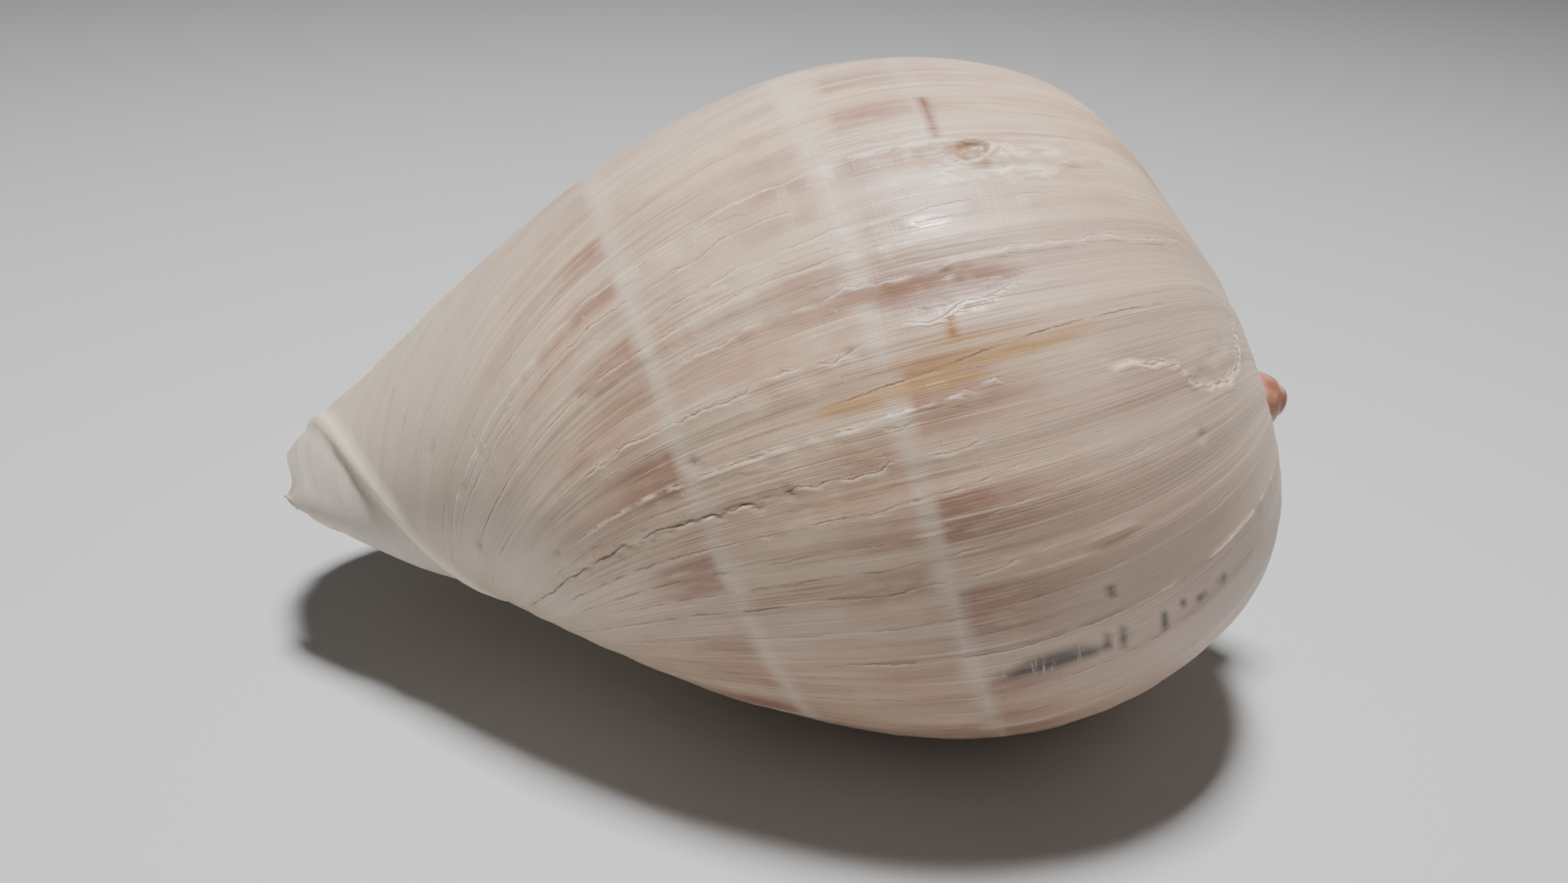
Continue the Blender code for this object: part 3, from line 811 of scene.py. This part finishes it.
def build_pillar(matrix):
    """The columella: a tapering pillar that swings out to the canal, with oblique folds."""
    rings = []
    swing_angle = math.radians(PILLAR_SWING_ANGLE)
    angles = np.arange(PILLAR_SIDES) * TURN / PILLAR_SIDES
    back = (angles - math.radians(FOLD_START)) % TURN + math.radians(FOLD_START)
    for height in np.linspace(PILLAR_TOP, PILLAR_FOOT, PILLAR_STEPS + 1):
        down = (height - PILLAR_TOP) / (PILLAR_FOOT - PILLAR_TOP)
        radius = PILLAR_RADIUS_TOP + (PILLAR_RADIUS_FOOT - PILLAR_RADIUS_TOP) * down
        past_tip = max(0.0, (down - PILLAR_TIP) / (1.0 - PILLAR_TIP))
        radius *= math.sqrt(1.0 - TIP_NARROWING * past_tip ** 2)
        swing = PILLAR_SWING * down ** 2
        slope = PILLAR_SLOPE * float(ramp(down, PILLAR_SLOPE_START, 1.0))
        bulge = 0.0
        for level in FOLD_LEVELS:
            bulge += FOLD_HEIGHT * hump(height, level * np.exp(-AXIAL_RATE * back), FOLD_WIDTH)
        reach = radius + bulge * float(smoothstep((PILLAR_FOLD_FOOT - down) / FOLD_FADE))
        side_x = reach * np.cos(angles)
        side_y = reach * np.sin(angles)
        rings.append(np.stack([swing * math.cos(swing_angle) + side_x,
                               swing * math.sin(swing_angle) + side_y,
                               height - slope * side_x], axis=1))
    return tube("pillar", rings, matrix)


pillar = build_pillar(resting)
print("pillar: %d faces, folds: %d" % (len(pillar.data.polygons), len(FOLD_LEVELS)))

# %% [markdown]
# ## The nub
#
# The nub at the apex is the shell that the snail had when it hatched.  It is a squashed ball
# with the groove of its own small coil.

# %% Build the nub
NUB_RADIUS = 7.4
NUB_HEIGHT = 8.2
NUB_CENTRE = -0.8
NUB_TAPER = 0.28
NUB_SIDES = 56
NUB_RINGS = 36
COIL_STEP = 0.9
GROOVE_SHARE = 0.055
GROOVE_WIDTH = 0.13
GROOVE_START = 0.4


def build_nub(matrix):
    """The protoconch: a blunt nub with the groove of its own small coil."""
    mesh = bmesh.new()
    bmesh.ops.create_uvsphere(mesh, u_segments=NUB_SIDES, v_segments=NUB_RINGS, radius=1.0)
    for vert in mesh.verts:
        angle = math.atan2(vert.co.y, vert.co.x)
        tilt = math.acos(max(-1.0, min(1.0, vert.co.z)))
        coil = (tilt / COIL_STEP - angle / TURN) % 1.0
        groove = GROOVE_SHARE * hump(coil, 0.5, GROOVE_WIDTH) * smoothstep(tilt / GROOVE_START)
        taper = 1.0 - NUB_TAPER * max(0.0, vert.co.z)
        vert.co *= 1.0 - float(groove)
        vert.co.x *= taper
        vert.co.y *= taper
    place = Matrix.Translation((0.0, 0.0, NUB_CENTRE))
    squash = Matrix.Diagonal((NUB_RADIUS, NUB_RADIUS, NUB_HEIGHT, 1.0))
    bmesh.ops.transform(mesh, matrix=matrix @ place @ squash, verts=mesh.verts)
    data = bpy.data.meshes.new("nub")
    mesh.to_mesh(data)
    mesh.free()
    return bpy.data.objects.new("nub", data)


nub = build_nub(resting)
print("nub: %d faces" % len(nub.data.polygons))

# %% [markdown]
# ## The ground that wears the shell
#
# The ground wears the belly and the lip flat by a hair.  A slab whose top lies at the packed
# part's lowest point cuts the shell there.

# %% Ground slab
SLAB_SIZE = 0.5
cad_low, cad_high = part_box("shell")
slab_place = Matrix.Translation((0.0, 0.0, cad_low.z - SLAB_SIZE / 2.0))
slab = bmesh.new()
bmesh.ops.create_cube(slab, size=1.0, matrix=slab_place @ Matrix.Scale(SLAB_SIZE, 4))
slab_data = bpy.data.meshes.new("ground_slab")
slab.to_mesh(slab_data)
slab.free()
ground_slab = bpy.data.objects.new("ground_slab", slab_data)
print("top of the ground: %.2f mm" % (cad_low.z / MM))

# %% [markdown]
# ## One closed shell
#
# The hollow and the canal are cut out, the pillar and the nub are joined on, and the ground is
# cut away.  The result is one closed mesh, so no edge of it may be open.

# %% Cut and join
bpy.context.scene.collection.objects.link(outside)
for operation, tool in (("DIFFERENCE", hollow), ("DIFFERENCE", canal), ("UNION", pillar),
                        ("UNION", nub), ("DIFFERENCE", ground_slab)):
    bpy.context.scene.collection.objects.link(tool)
    modifier = outside.modifiers.new(tool.name, "BOOLEAN")
    modifier.operation = operation
    modifier.object = tool
    modifier.solver = "MANIFOLD"
graph = bpy.context.evaluated_depsgraph_get()
shell_data = bpy.data.meshes.new_from_object(outside.evaluated_get(graph))
joined = bmesh.new()
joined.from_mesh(shell_data)
bmesh.ops.triangulate(joined, faces=joined.faces)
open_edges = sum(1 for edge in joined.edges if len(edge.link_faces) != 2)
joined.to_mesh(shell_data)
joined.free()
print("joined shell: %d triangles, %d open edges" % (len(shell_data.polygons), open_edges))
shell = bpy.data.objects.new("melon_shell", shell_data)
bpy.context.scene.collection.objects.link(shell)

# %% [markdown]
# ## Where each point lies on the growth grid
#
# The finish follows the growth lines, so every vertex of the finished mesh takes its age and
# level from the nearest point of the grid it was built from, and each face its material from
# the form that it came from.

# %% Carry the growth grid over
rotation = np.array(resting)[:3, :3]
offset = np.array(resting)[:3, 3]
grid_points = grid.reshape(-1, 3) @ rotation.T + offset
sources = [("outside", grid_points)]
for tool in (hollow, canal, pillar, nub):
    points = np.array([vert.co for vert in tool.data.vertices])
    sources.append((tool.name, points))
starts = np.cumsum([0] + [len(points) for name, points in sources])
tree = KDTree(int(starts[-1]))
for start, (name, points) in zip(starts, sources):
    for k, point in enumerate(points):
        tree.insert(point, int(start + k))
tree.balance()
count = len(shell_data.vertices)
nearest = np.array([tree.find(vert.co)[1] for vert in shell_data.vertices])
origin = np.searchsorted(starts, nearest, side="right") - 1
on_grid = np.clip(nearest, 0, len(grid_points) - 1)
ages = age_grid.ravel()[on_grid]
places = level_grid.ravel()[on_grid]
ages[origin != 0] = 0.0
places[origin != 0] = 0.0
print("shell: %d triangles, from the outside %d vertices of %d" % (
    len(shell_data.polygons), int((origin == 0).sum()), count))

for item in (outside, hollow, canal, pillar, nub, ground_slab):
    bpy.data.objects.remove(item, do_unlink=True)

# %% [markdown]
# ## Small tools for the finish
#
# Colours are given as the hex values that a colour picker shows and turned into linear light.
# One function adds a node with its settings and links, whatever its kind.

# %% Node tools
def linear(code):
    """A hex colour as linear red, green, blue and alpha."""
    light = []
    for k in (1, 3, 5):
        share = int(code[k:k + 2], 16) / 255.0
        light.append(share / 12.92 if share <= 0.04045 else ((share + 0.055) / 1.055) ** 2.4)
    return (*light, 1.0)


def add_node(material, kind, inputs=None, output=0, **settings):
    """Add a node, set its properties, set or link its inputs, and return one of its outputs."""
    node = material.node_tree.nodes.new(kind)
    for name, value in settings.items():
        setattr(node, name, value)
    for name, value in (inputs or {}).items():
        socket = node.inputs[name]
        if isinstance(value, bpy.types.NodeSocket):
            material.node_tree.links.new(value, socket)
        else:
            socket.default_value = value
    return node.outputs[output]


def new_material(name):
    """A material with its surface shader."""
    material = bpy.data.materials.new(name)
    material.use_nodes = True
    return material, material.node_tree.nodes["Principled BSDF"]


print("cream in linear light:", [round(v, 3) for v in linear("#dcc4ac")])

# %% [markdown]
# ## Single marks
#
# There is an ochre streak, a scraped rosy patch, chalky lime in the rough place near the crown,
# a red and a rusty mark, a dark stain low on the shoulder and a few polished places.  Each is
# listed with its kind, its age and level, and half its extent in both.

# %% Single marks
SPOTS = [
    ("stain", 219.3, 103.0, 2.3, 11.5), ("stain", 219.4, 90.2, 2.2, 0.9),
    ("stain", 219.6, 87.2, 2.6, 0.9), ("stain", 220.0, 84.2, 2.4, 0.8),
    ("crater", 139.0, 95.2, 1.5, 3.4),
    ("stain", 221.2, 76.0, 2.6, 0.9), ("stain", 219.8, 72.0, 1.8, 0.8),
    ("stain", 221.9, 66.0, 1.8, 0.9), ("stain", 222.4, 60.0, 1.5, 0.8),
    ("spot", 208.3, 88.5, 1.2, 1.1), ("red", 128.6, 101.7, 2.6, 0.95),
    ("red", 132.8, 101.2, 3.2, 0.9), ("rust", 164.9, 109.3, 1.6, 1.0),
    ("chalk", 143.6, 101.0, 2.2, 4.5), ("chalk", 143.6, 87.0, 1.8, 7.0),
    ("chalk", 139.4, 86.0, 1.6, 9.0), ("chalk", 136.4, 108.0, 0.7, 14.0),
    ("ochre", 168.6, 103.0, 2.2, 20.0), ("ochre", 171.6, 121.0, 1.7, 17.0),
    ("ochre", 158.2, 118.0, 0.9, 9.0), ("scrape", 160.0, 108.0, 2.8, 14.0),
    ("scrape", 157.6, 118.0, 1.6, 10.0), ("gloss", 150.2, 109.0, 1.2, 5.5),
    ("gloss", 148.2, 130.0, 1.3, 4.5), ("gloss", 162.6, 105.0, 0.9, 6.0),
]
print("single marks: %d of %d kinds" % (len(SPOTS), len({spot[0] for spot in SPOTS})))

# %% [markdown]
# ## Pale bands and rosy blotches
#
# Two pale bands run round the shell and drift a little with age, and a third is short.  Rosy
# brown blotches stand in rows beside them, each as long as a few growth lines are wide.  A row
# has its curve, amount, share of the drift and cover, and the levels over which it fades in and
# over which it fades out.

# %% Bands and blotches
DRIFT_AGE = 165.0
DRIFT_RATE = 0.06
PALE_BANDS = [(166.5, 1.9, 1.0), (123.0, 1.8, 1.2)]
SHORT_BAND = (102.6, 1.6)
SHORT_BAND_AGES = (140.0, 128.0)
SHORT_BAND_AMOUNT = 0.7
BLOTCHES = [
    ("low blotch", 1.0, 1.0, 0.35, (167.5, 170.0), (192.0, 174.0)),
    ("middle blotch", 0.55, 1.0, 0.25, (124.5, 127.5), (146.0, 132.0)),
    ("high blotch", 1.0, 0.0, 0.55, (121.5, 118.5), (84.0, 114.0)),
]
drift = (ages - DRIFT_AGE) * DRIFT_RATE
pale = SHORT_BAND_AMOUNT * hump(places, *SHORT_BAND) * ramp(ages, *SHORT_BAND_AGES)
for at_level, width, share in PALE_BANDS:
    pale += hump(places + share * drift, at_level, width)
blotch = np.zeros(count)
for curve, amount, share, cover, begins, ends in BLOTCHES:
    beside = ramp(places + share * drift, *begins) * ramp(places, *ends)
    blotch += amount * beside * smoothstep(cover + wander(ages, curve))
print("vertices in a pale band: %d, in a blotch: %d" % ((pale > 0.5).sum(), (blotch > 0.5).sum()))

# %% [markdown]
# ## Regions and marks, one number per vertex
#
# The crown, the shoulder, the flank and the siphon end differ a little in tone.  Each region and
# each kind of mark is one number per vertex, 0 where it isn't and 1 where it is full.

# %% Regions
TIP_CENTRE = (4.0, 3.0, -203.0)
TIP_SIZE = (6.0, 7.0, 5.0)
TIP_EDGE = 1.6
from_outside = origin == 0
local = (np.array([vert.co for vert in shell_data.vertices]) - offset) @ np.linalg.inv(rotation).T
tip_reach = np.linalg.norm((local - TIP_CENTRE) / TIP_SIZE, axis=1)
marks = {
    "pale_band": np.clip(pale, 0.0, 1.0),
    "blotch": np.clip(blotch, 0.0, 1.0),
    "crown": np.maximum(ramp(places, 70.0, 20.0), 0.55 * ramp(ages, 124.0, 110.0)),
    "calm": ramp(places, 186.0, 226.0),
    "shoulder": ramp(places, 118.0, 73.0) * ramp(ages, 145.0, 157.0),
    "flank": ramp(ages, 186.0, 210.0) * ramp(ages, 275.0, 250.0),
    "front": ramp(places, RIDGE_LEVEL + 1.0, RIDGE_LEVEL + 3.0) * from_outside,
    # The ridge mark is a painted highlight along the crest, and the groove mark is painted shade
    # below it.
    "ridge_highlight": hump(places, RIDGE_LEVEL - 0.8, 2.2) * from_outside,
    "groove": hump(places, RIDGE_LEVEL + 3.0, 1.5) * from_outside,
    "tip": smoothstep(TIP_EDGE - tip_reach),
}
for name, at_age, at_level, half_age, half_level in SPOTS:
    spot = patch(ages, places, at_age, at_level, half_age, half_level)
    marks[name] = np.maximum(marks.get(name, 0.0), spot)
print("regions and marks:", len(marks))

# %% [markdown]
# ## Cracks, worn and highlighted edges, and shaded pits
#
# Each vertex knows its distance in millimetres from the edge of the nearest step, so that cracks
# and worn edges can be drawn a fraction of a millimetre wide.  Each worn edge also carries a
# painted highlight.  Only deep pits get painted shade, darker the deeper they are.

# %% Step edges and pits
FAR_AWAY = 50.0
PIT_SHADE_DEPTHS = (0.5, 0.8)
SCAR_TONES = (1.0, 0.45)
MARK_SIZES = (0.2, 1.2)
from_axis = np.linalg.norm(local[:, :2], axis=1)
size = np.clip(from_axis / SIZE_RADIUS, *MARK_SIZES) * DEGREE_MM
# Painted shade in the pits: deep pits are darkened, more the deeper they are.
marks["pit_shade"] = np.zeros(count)
for at_age, at_level, width, depth in PITS:
    reach = ((ages - at_age) * size) ** 2 + (places - at_level) ** 2
    dark = ramp(depth, *PIT_SHADE_DEPTHS)
    marks["pit_shade"] = np.maximum(marks["pit_shade"], dark * np.exp(-reach / width ** 2))
# The bright line along each step's edge is partly a worn pale edge and partly a painted highlight.
edge = np.full(count, FAR_AWAY)
crack = np.zeros(count)
worn = np.zeros(count)
edges = [step_line(index, places) + step[5:] for index, step in enumerate(STEPS)]
edges.append(scar_line(places) + SCAR_TONES)
for line, window, dark, bright in edges:
    past = (ages - line) * size
    closer = np.abs(past) < np.abs(edge)
    edge = np.where(closer, past, edge)
    crack = np.where(closer, window * dark, crack)
    worn = np.where(closer, window * bright, worn)
marks.update(edge=edge, crack=crack * from_outside, worn=worn * from_outside)
print("vertices within 1 mm of a step: %d" % (np.abs(edge) < 1.0).sum())

# %% [markdown]
# ## Stored on the mesh
#
# The growth grid in millimetres and all marks become attributes, which the materials read.

# %% Store the attributes
growth_mm = np.stack([ages * DEGREE_MM, places, np.zeros(count)], axis=1)
layer = shell_data.attributes.new("growth", "FLOAT_VECTOR", "POINT")
layer.data.foreach_set("vector", growth_mm.astype(np.float32).ravel())
for name, values in marks.items():
    layer = shell_data.attributes.new(name, "FLOAT", "POINT")
    layer.data.foreach_set("value", np.asarray(values, np.float32))
print("marks:", ", ".join(sorted(marks)))

# %% [markdown]
# ## The aged outside of the shell
#
# The outer layer is cream to tan lime, worn satin.  Its colour was laid down a line at a time,
# so its streaks are noise stretched along the growth lines.  Each noise is listed with its size
# across and along the lines in millimetres, its detail and its place.

# %% Streaks of the aged shell
NOISES = {
    "hair": (0.35, 45.0, 2.0, 1.0), "fine": (0.9, 70.0, 3.0, 3.0), "medium": (3.2, 90.0, 3.0, 4.0),
    "broad": (13.0, 55.0, 2.0, 9.0), "cloud": (11.0, 22.0, 3.0, 6.0), "comb": (9.0, 0.9, 2.0, 5.0),
    "mottle": (1.4, 4.5, 4.0, 2.0), "soft": (2.2, 13.0, 3.0, 7.0), "thread": (14.0, 0.7, 2.0, 8.0),
    "jag": (0.8, 1.3, 3.0, 11.0),
}
aged, surface = new_material("aged satin shell, worn by water")
growth = add_node(aged, "ShaderNodeAttribute", output="Vector", attribute_name="growth")
noise = {}
NOISE_ROUGHNESS = 0.55
for name, (across, along, detail, shift) in NOISES.items():
    place = add_node(aged, "ShaderNodeMapping",
                     {"Vector": growth, "Location": (shift, shift, shift),
                      "Scale": (1.0 / across, 1.0 / along, 1.0)})
    noise[name] = add_node(aged, "ShaderNodeTexNoise",
                           {"Vector": place, "Scale": 1.0, "Detail": detail,
                            "Roughness": NOISE_ROUGHNESS})
value = {}
for name in marks:
    value[name] = add_node(aged, "ShaderNodeAttribute", output="Fac", attribute_name=name)
print("noises:", len(noise), "stored marks:", len(value))

# %% [markdown]
# ## Its colour, layer over layer
#
# Each layer is a mark, a noise with the range over which it comes in, an amount and a colour.
# After them come the lines beside the step edges: a dark crack, then a bright worn edge that is
# also a painted highlight.

# %% Colour of the aged shell
CREAM_TAN = "#c3a289"
LAYERS = [
    (None, "broad", 0.36, 0.66, 0.9, "#d6b99e"), (None, "medium", 0.40, 0.66, 0.4, "#e0cab2"),
    (None, "cloud", 0.50, 0.70, 0.6, "#b8917a"), (None, "cloud", 0.46, 0.28, 0.5, "#e0cbae"),
    ("shoulder", "soft", 0.1, 0.5, 0.45, "#c6aa96"), ("flank", "soft", 0.0, 0.5, 0.40, "#a08676"),
    ("blotch", "soft", 0.14, 0.56, 0.9, "#9d7765"), ("blotch", "medium", 0.5, 0.68, 0.5, "#8a6456"),
    (None, "fine", 0.57, 0.70, 0.5, "#8f6f5d"), (None, "fine", 0.42, 0.30, 0.45, "#eadac4"),
    (None, "hair", 0.60, 0.70, 0.55, "#7d5c4b"), (None, "hair", 0.38, 0.28, 0.4, "#eee0cc"),
    ("shoulder", "cloud", 0.1, 0.5, 0.6, "#c2a693"), ("crown", "soft", 0.0, 0.5, 0.75, "#d6c1af"),
    ("calm", "soft", 0.0, 0.5, 0.6, "#d4c4b2"), ("pale_band", "soft", 0.1, 0.6, 0.42, "#e0d4c6"),
    ("ochre", "medium", 0.25, 0.60, 0.75, "#c0955f"), ("ochre", "fine", 0.5, 0.64, 0.45, "#a4713f"),
    ("scrape", "soft", 0.2, 0.45, 0.75, "#987262"), ("chalk", "mottle", 0.40, 0.60, 0.6, "#efe4d4"),
    ("crater", "jag", 0.2, 0.5, 0.9, "#94735a"), ("red", "jag", 0.1, 0.4, 0.95, "#7d4335"),
    ("rust", "jag", 0.1, 0.4, 0.9, "#a0672c"), ("front", "fine", 0.70, 0.30, 0.9, "#d6ccc2"),
    # The ridge layer paints a highlight on the crest, and the groove layer paints shade in the
    # groove.
    ("ridge_highlight", "soft", 0.0, 0.3, 1.0, "#f6e8cc"), ("groove", "soft", 0.1, 0.4, 0.2, "#b3a18f"),
    ("stain", "comb", 0.24, 0.42, 0.95, "#38312e"), ("spot", "jag", 0.2, 0.4, 0.85, "#5b4c44"),
    # The pit layer is painted shade in the deep pits.
    ("pit_shade", "jag", 0.1, 0.4, 0.7, "#7f6453"),
]
# The colour sockets of a Mix node have the names of its other sockets, so they go by number.
MIX_UNDER = 6
MIX_OVER = 7
MIX_RESULT = 2
colour = linear(CREAM_TAN)
for mark, kind, low, high, amount, code in LAYERS:
    shown = add_node(aged, "ShaderNodeMapRange",
                     {"Value": noise[kind], "From Min": low, "From Max": high, "To Max": amount},
                     interpolation_type="SMOOTHSTEP")
    if mark:
        shown = add_node(aged, "ShaderNodeMath", {0: shown, 1: value[mark]}, operation="MULTIPLY")
    colour = add_node(aged, "ShaderNodeMix",
                      {"Factor": shown, MIX_UNDER: colour, MIX_OVER: linear(code)},
                      output=MIX_RESULT, data_type="RGBA")
print("colour layers:", len(LAYERS))

# %% [markdown]
# ## Lines beside the step edges
#
# Beside each edge lie a dark crack and a bright worn line, which is also a painted highlight.
# They are listed with their mark, shift from the edge, half width of the full line and of its fade
# in millimetres, amount and colour.  The edge wobbles a little, so that they aren't ruled.

# %% Cracks and worn edges of the aged shell, with a painted highlight on the edges
WOBBLE = 0.35
# The second line is partly a worn pale edge and partly a painted highlight of the lit edge.
EDGE_LINES = [
    ("crack", 0.16, 0.06, 0.26, 0.85, "#6d5040"), ("worn", -0.22, 0.08, 0.38, 0.62, "#efe2cf"),
]
wobble = add_node(aged, "ShaderNodeMapRange",
                  {"Value": noise["jag"], "To Min": -WOBBLE, "To Max": WOBBLE})
place = add_node(aged, "ShaderNodeMath", {0: value["edge"], 1: wobble}, operation="ADD")
for mark, shift, inner, outer, amount, code in EDGE_LINES:
    away = add_node(aged, "ShaderNodeMath", {0: place, 1: shift}, operation="ADD")
    away = add_node(aged, "ShaderNodeMath", {0: away}, operation="ABSOLUTE")
    shown = add_node(aged, "ShaderNodeMapRange",
                     {"Value": away, "From Min": outer, "From Max": inner, "To Max": amount},
                     interpolation_type="SMOOTHSTEP")
    shown = add_node(aged, "ShaderNodeMath", {0: shown, 1: value[mark]}, operation="MULTIPLY")
    colour = add_node(aged, "ShaderNodeMix",
                      {"Factor": shown, MIX_UNDER: colour, MIX_OVER: linear(code)},
                      output=MIX_RESULT, data_type="RGBA")
aged.node_tree.links.new(colour, surface.inputs["Base Color"])
print("edge lines:", len(EDGE_LINES))

# %% [markdown]
# ## Its sheen and its smallest relief
#
# Worn lime is satin: roughness about 0.45, less on a few polished places, and the refractive
# index of aragonite, 1.53.  Hair lines, spiral threads and the sharp break at each step are finer
# than the mesh, so they are bump, in fractions of a millimetre.

# %% Sheen and fine relief of the aged shell
ARAGONITE_IOR = 1.53
BUMPS = (("fine", 0.12), ("hair", 0.07), ("thread", 0.04), ("mottle", 0.08))
BREAK_BUMP = 0.16
POLISH = -0.2
ROUGHNESS_LOW = 0.38
ROUGHNESS_HIGH = 0.54
BREAK_FROM = -0.2
BREAK_TO = 0.1
surface.inputs["IOR"].default_value = ARAGONITE_IOR
rough = add_node(aged, "ShaderNodeMapRange",
                 {"Value": noise["mottle"], "To Min": ROUGHNESS_LOW, "To Max": ROUGHNESS_HIGH})
rough = add_node(aged, "ShaderNodeMath", {0: value["gloss"], 1: POLISH, 2: rough},
                 operation="MULTIPLY_ADD")
aged.node_tree.links.new(rough, surface.inputs["Roughness"])
height = 0.0
for kind, share in BUMPS:
    height = add_node(aged, "ShaderNodeMath", {0: noise[kind], 1: share, 2: height},
                      operation="MULTIPLY_ADD")
broken = add_node(aged, "ShaderNodeMapRange",
                  {"Value": place, "From Min": BREAK_FROM, "From Max": BREAK_TO,
                   "To Max": BREAK_BUMP},
                  interpolation_type="SMOOTHSTEP")
height = add_node(aged, "ShaderNodeMath", {0: broken, 1: value["worn"], 2: height},
                  operation="MULTIPLY_ADD")
height = add_node(aged, "ShaderNodeBump", {"Height": height, "Distance": MM})
aged.node_tree.links.new(height, surface.inputs["Normal"])
print("bump: %.2f mm at the most" % (sum(share for kind, share in BUMPS) + BREAK_BUMP))

# %% [markdown]
# ## The glossy inside, and the horny brown of the nub
#
# The inside is smooth porcelain-like lime in two tones of cream.  The nub keeps the orange brown
# of the young shell.  Each finish has the scale of its clouds, the range over which the second
# colour comes in, both colours and its roughness.  The tip of the siphon end is tan.

# %% Inside and nub
FINISHES = [
    ("glossy cream lime of the inside", 60.0, 0.35, 0.65, "#e2c7a4", "#e9dac4", 0.28),
    ("orange brown nub, polished by wear", 150.0, 0.42, 0.62, "#cf9d80", "#93604b", 0.36),
]
TIP_TAN = "#c49a5e"
TIP_AMOUNT = 0.7
CLOUD_DETAIL = 4.0
finished = [aged]
for name, scale, low, high, under, over, gloss in FINISHES:
    material, surface = new_material(name)
    place = add_node(material, "ShaderNodeTexCoord", output="Object")
    cloud = add_node(material, "ShaderNodeTexNoise",
                     {"Vector": place, "Scale": scale, "Detail": CLOUD_DETAIL})
    shown = add_node(material, "ShaderNodeMapRange",
                     {"Value": cloud, "From Min": low, "From Max": high})
    colour = add_node(material, "ShaderNodeMix",
                      {"Factor": shown, MIX_UNDER: linear(under), MIX_OVER: linear(over)},
                      output=MIX_RESULT, data_type="RGBA")
    tip = add_node(material, "ShaderNodeAttribute", output="Fac", attribute_name="tip")
    tip = add_node(material, "ShaderNodeMath", {0: tip, 1: TIP_AMOUNT}, operation="MULTIPLY")
    colour = add_node(material, "ShaderNodeMix",
                      {"Factor": tip, MIX_UNDER: colour, MIX_OVER: linear(TIP_TAN)},
                      output=MIX_RESULT, data_type="RGBA")
    material.node_tree.links.new(colour, surface.inputs["Base Color"])
    surface.inputs["Roughness"].default_value = gloss
    surface.inputs["IOR"].default_value = ARAGONITE_IOR
    finished.append(material)
print("finishes:", ", ".join(material.name for material in finished))

# %% [markdown]
# ## Which face gets which finish
#
# A face takes the finish of the form that its corners came from: the outside, then the inside
# for the hollow, the canal and the pillar, then the nub.  A ring round the nub's foot belongs to
# the nub too.  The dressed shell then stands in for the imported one.

# %% Finish of each face
AGED_KIND = 0
INSIDE_KIND = 1
NUB_KIND = 2
NUB_RING = 1.15
NUB_FOOT = -6.0
shell_data.materials.clear()
for material in finished:
    shell_data.materials.append(material)
kind_of_source = np.array([AGED_KIND, INSIDE_KIND, INSIDE_KIND, INSIDE_KIND, NUB_KIND])
near_nub = (from_axis < NUB_RING * NUB_RADIUS) & (local[:, 2] > NUB_FOOT)
kinds = np.where(near_nub, NUB_KIND, kind_of_source[origin])
corners = np.zeros(len(shell_data.polygons) * 3, int)
shell_data.polygons.foreach_get("vertices", corners)
face_kinds = np.median(kinds[corners.reshape(-1, 3)], axis=1).astype(np.int32)
shell_data.polygons.foreach_set("material_index", face_kinds)
shell_data.shade_smooth()
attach(shell, "root")
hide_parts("shell")
print("faces of each finish:", np.bincount(face_kinds))

# %% [markdown]
# ## A plain pale floor
#
# The shell lies on a plain pale card that reaches past the picture's edges.

# %% Floor
FLOOR_SIZE = 4.0
CARD_GREY = "#cbcccd"
CARD_ROUGHNESS = 0.7
floor_mesh = bmesh.new()
bmesh.ops.create_grid(floor_mesh, x_segments=1, y_segments=1, size=FLOOR_SIZE)
floor_data = bpy.data.meshes.new("floor")
floor_mesh.to_mesh(floor_data)
floor_mesh.free()
floor = bpy.data.objects.new("floor", floor_data)
bpy.context.scene.collection.objects.link(floor)
card, surface = new_material("plain pale card")
surface.inputs["Base Color"].default_value = linear(CARD_GREY)
surface.inputs["Roughness"].default_value = CARD_ROUGHNESS
floor_data.materials.append(card)
print("floor: %d face of %s" % (len(floor_data.polygons), card.name))

# %% [markdown]
# ## Soft light
#
# A small studio lamp hangs nearly straight over the shell, as the glints near the crown show.  A
# weak one fills from the camera's left, and a pale room lights the shadows.

# %% Light
ROOM_WHITE = "#eceae6"
ROOM_STRENGTH = 0.13
LAMP_TARGET = (0.0, 0.0, 0.06)
LAMPS = [
    ("overhead", (0.02, -0.02, 0.95), 0.17, 15.0),
    ("fill", (-0.6, -0.7, 0.5), 0.5, 0.3),
]
world = bpy.data.worlds.new("studio")
bpy.context.scene.world = world
world.use_nodes = True
room = world.node_tree.nodes["Background"]
room.inputs["Color"].default_value = linear(ROOM_WHITE)
room.inputs["Strength"].default_value = ROOM_STRENGTH
for name, place, size, power in LAMPS:
    lamp_data = bpy.data.lights.new(name, "AREA")
    lamp_data.size = size
    lamp_data.energy = power
    lamp = bpy.data.objects.new(name, lamp_data)
    lamp.location = place
    away = Vector(place) - Vector(LAMP_TARGET)
    lamp.rotation_euler = away.to_track_quat("Z", "Y").to_euler()
    bpy.context.scene.collection.objects.link(lamp)
    print("lamp %s: %.2f m wide, %.1f W" % (name, size, power))

# %% [markdown]
# ## The camera
#
# The camera's place and turn were fitted so that the shell's outline agrees with the photo's.

# %% Camera
LENS_MM = 32.0
SENSOR_MM = 36.0
NEAREST = 0.01
CAMERA_PLACE = (-0.0112, -0.2775, 0.1954)
CAMERA_TURN = (62.123, -1.825, -1.972)
camera_data = bpy.data.cameras.new("camera")
camera_data.sensor_width = SENSOR_MM
camera_data.lens = LENS_MM
camera_data.clip_start = NEAREST
camera = bpy.data.objects.new("camera", camera_data)
camera.location = CAMERA_PLACE
camera.rotation_euler = [math.radians(angle) for angle in CAMERA_TURN]
bpy.context.scene.collection.objects.link(camera)
bpy.context.scene.camera = camera
print("camera: %.0f mm lens, %.3f m from the origin" % (LENS_MM, Vector(CAMERA_PLACE).length))
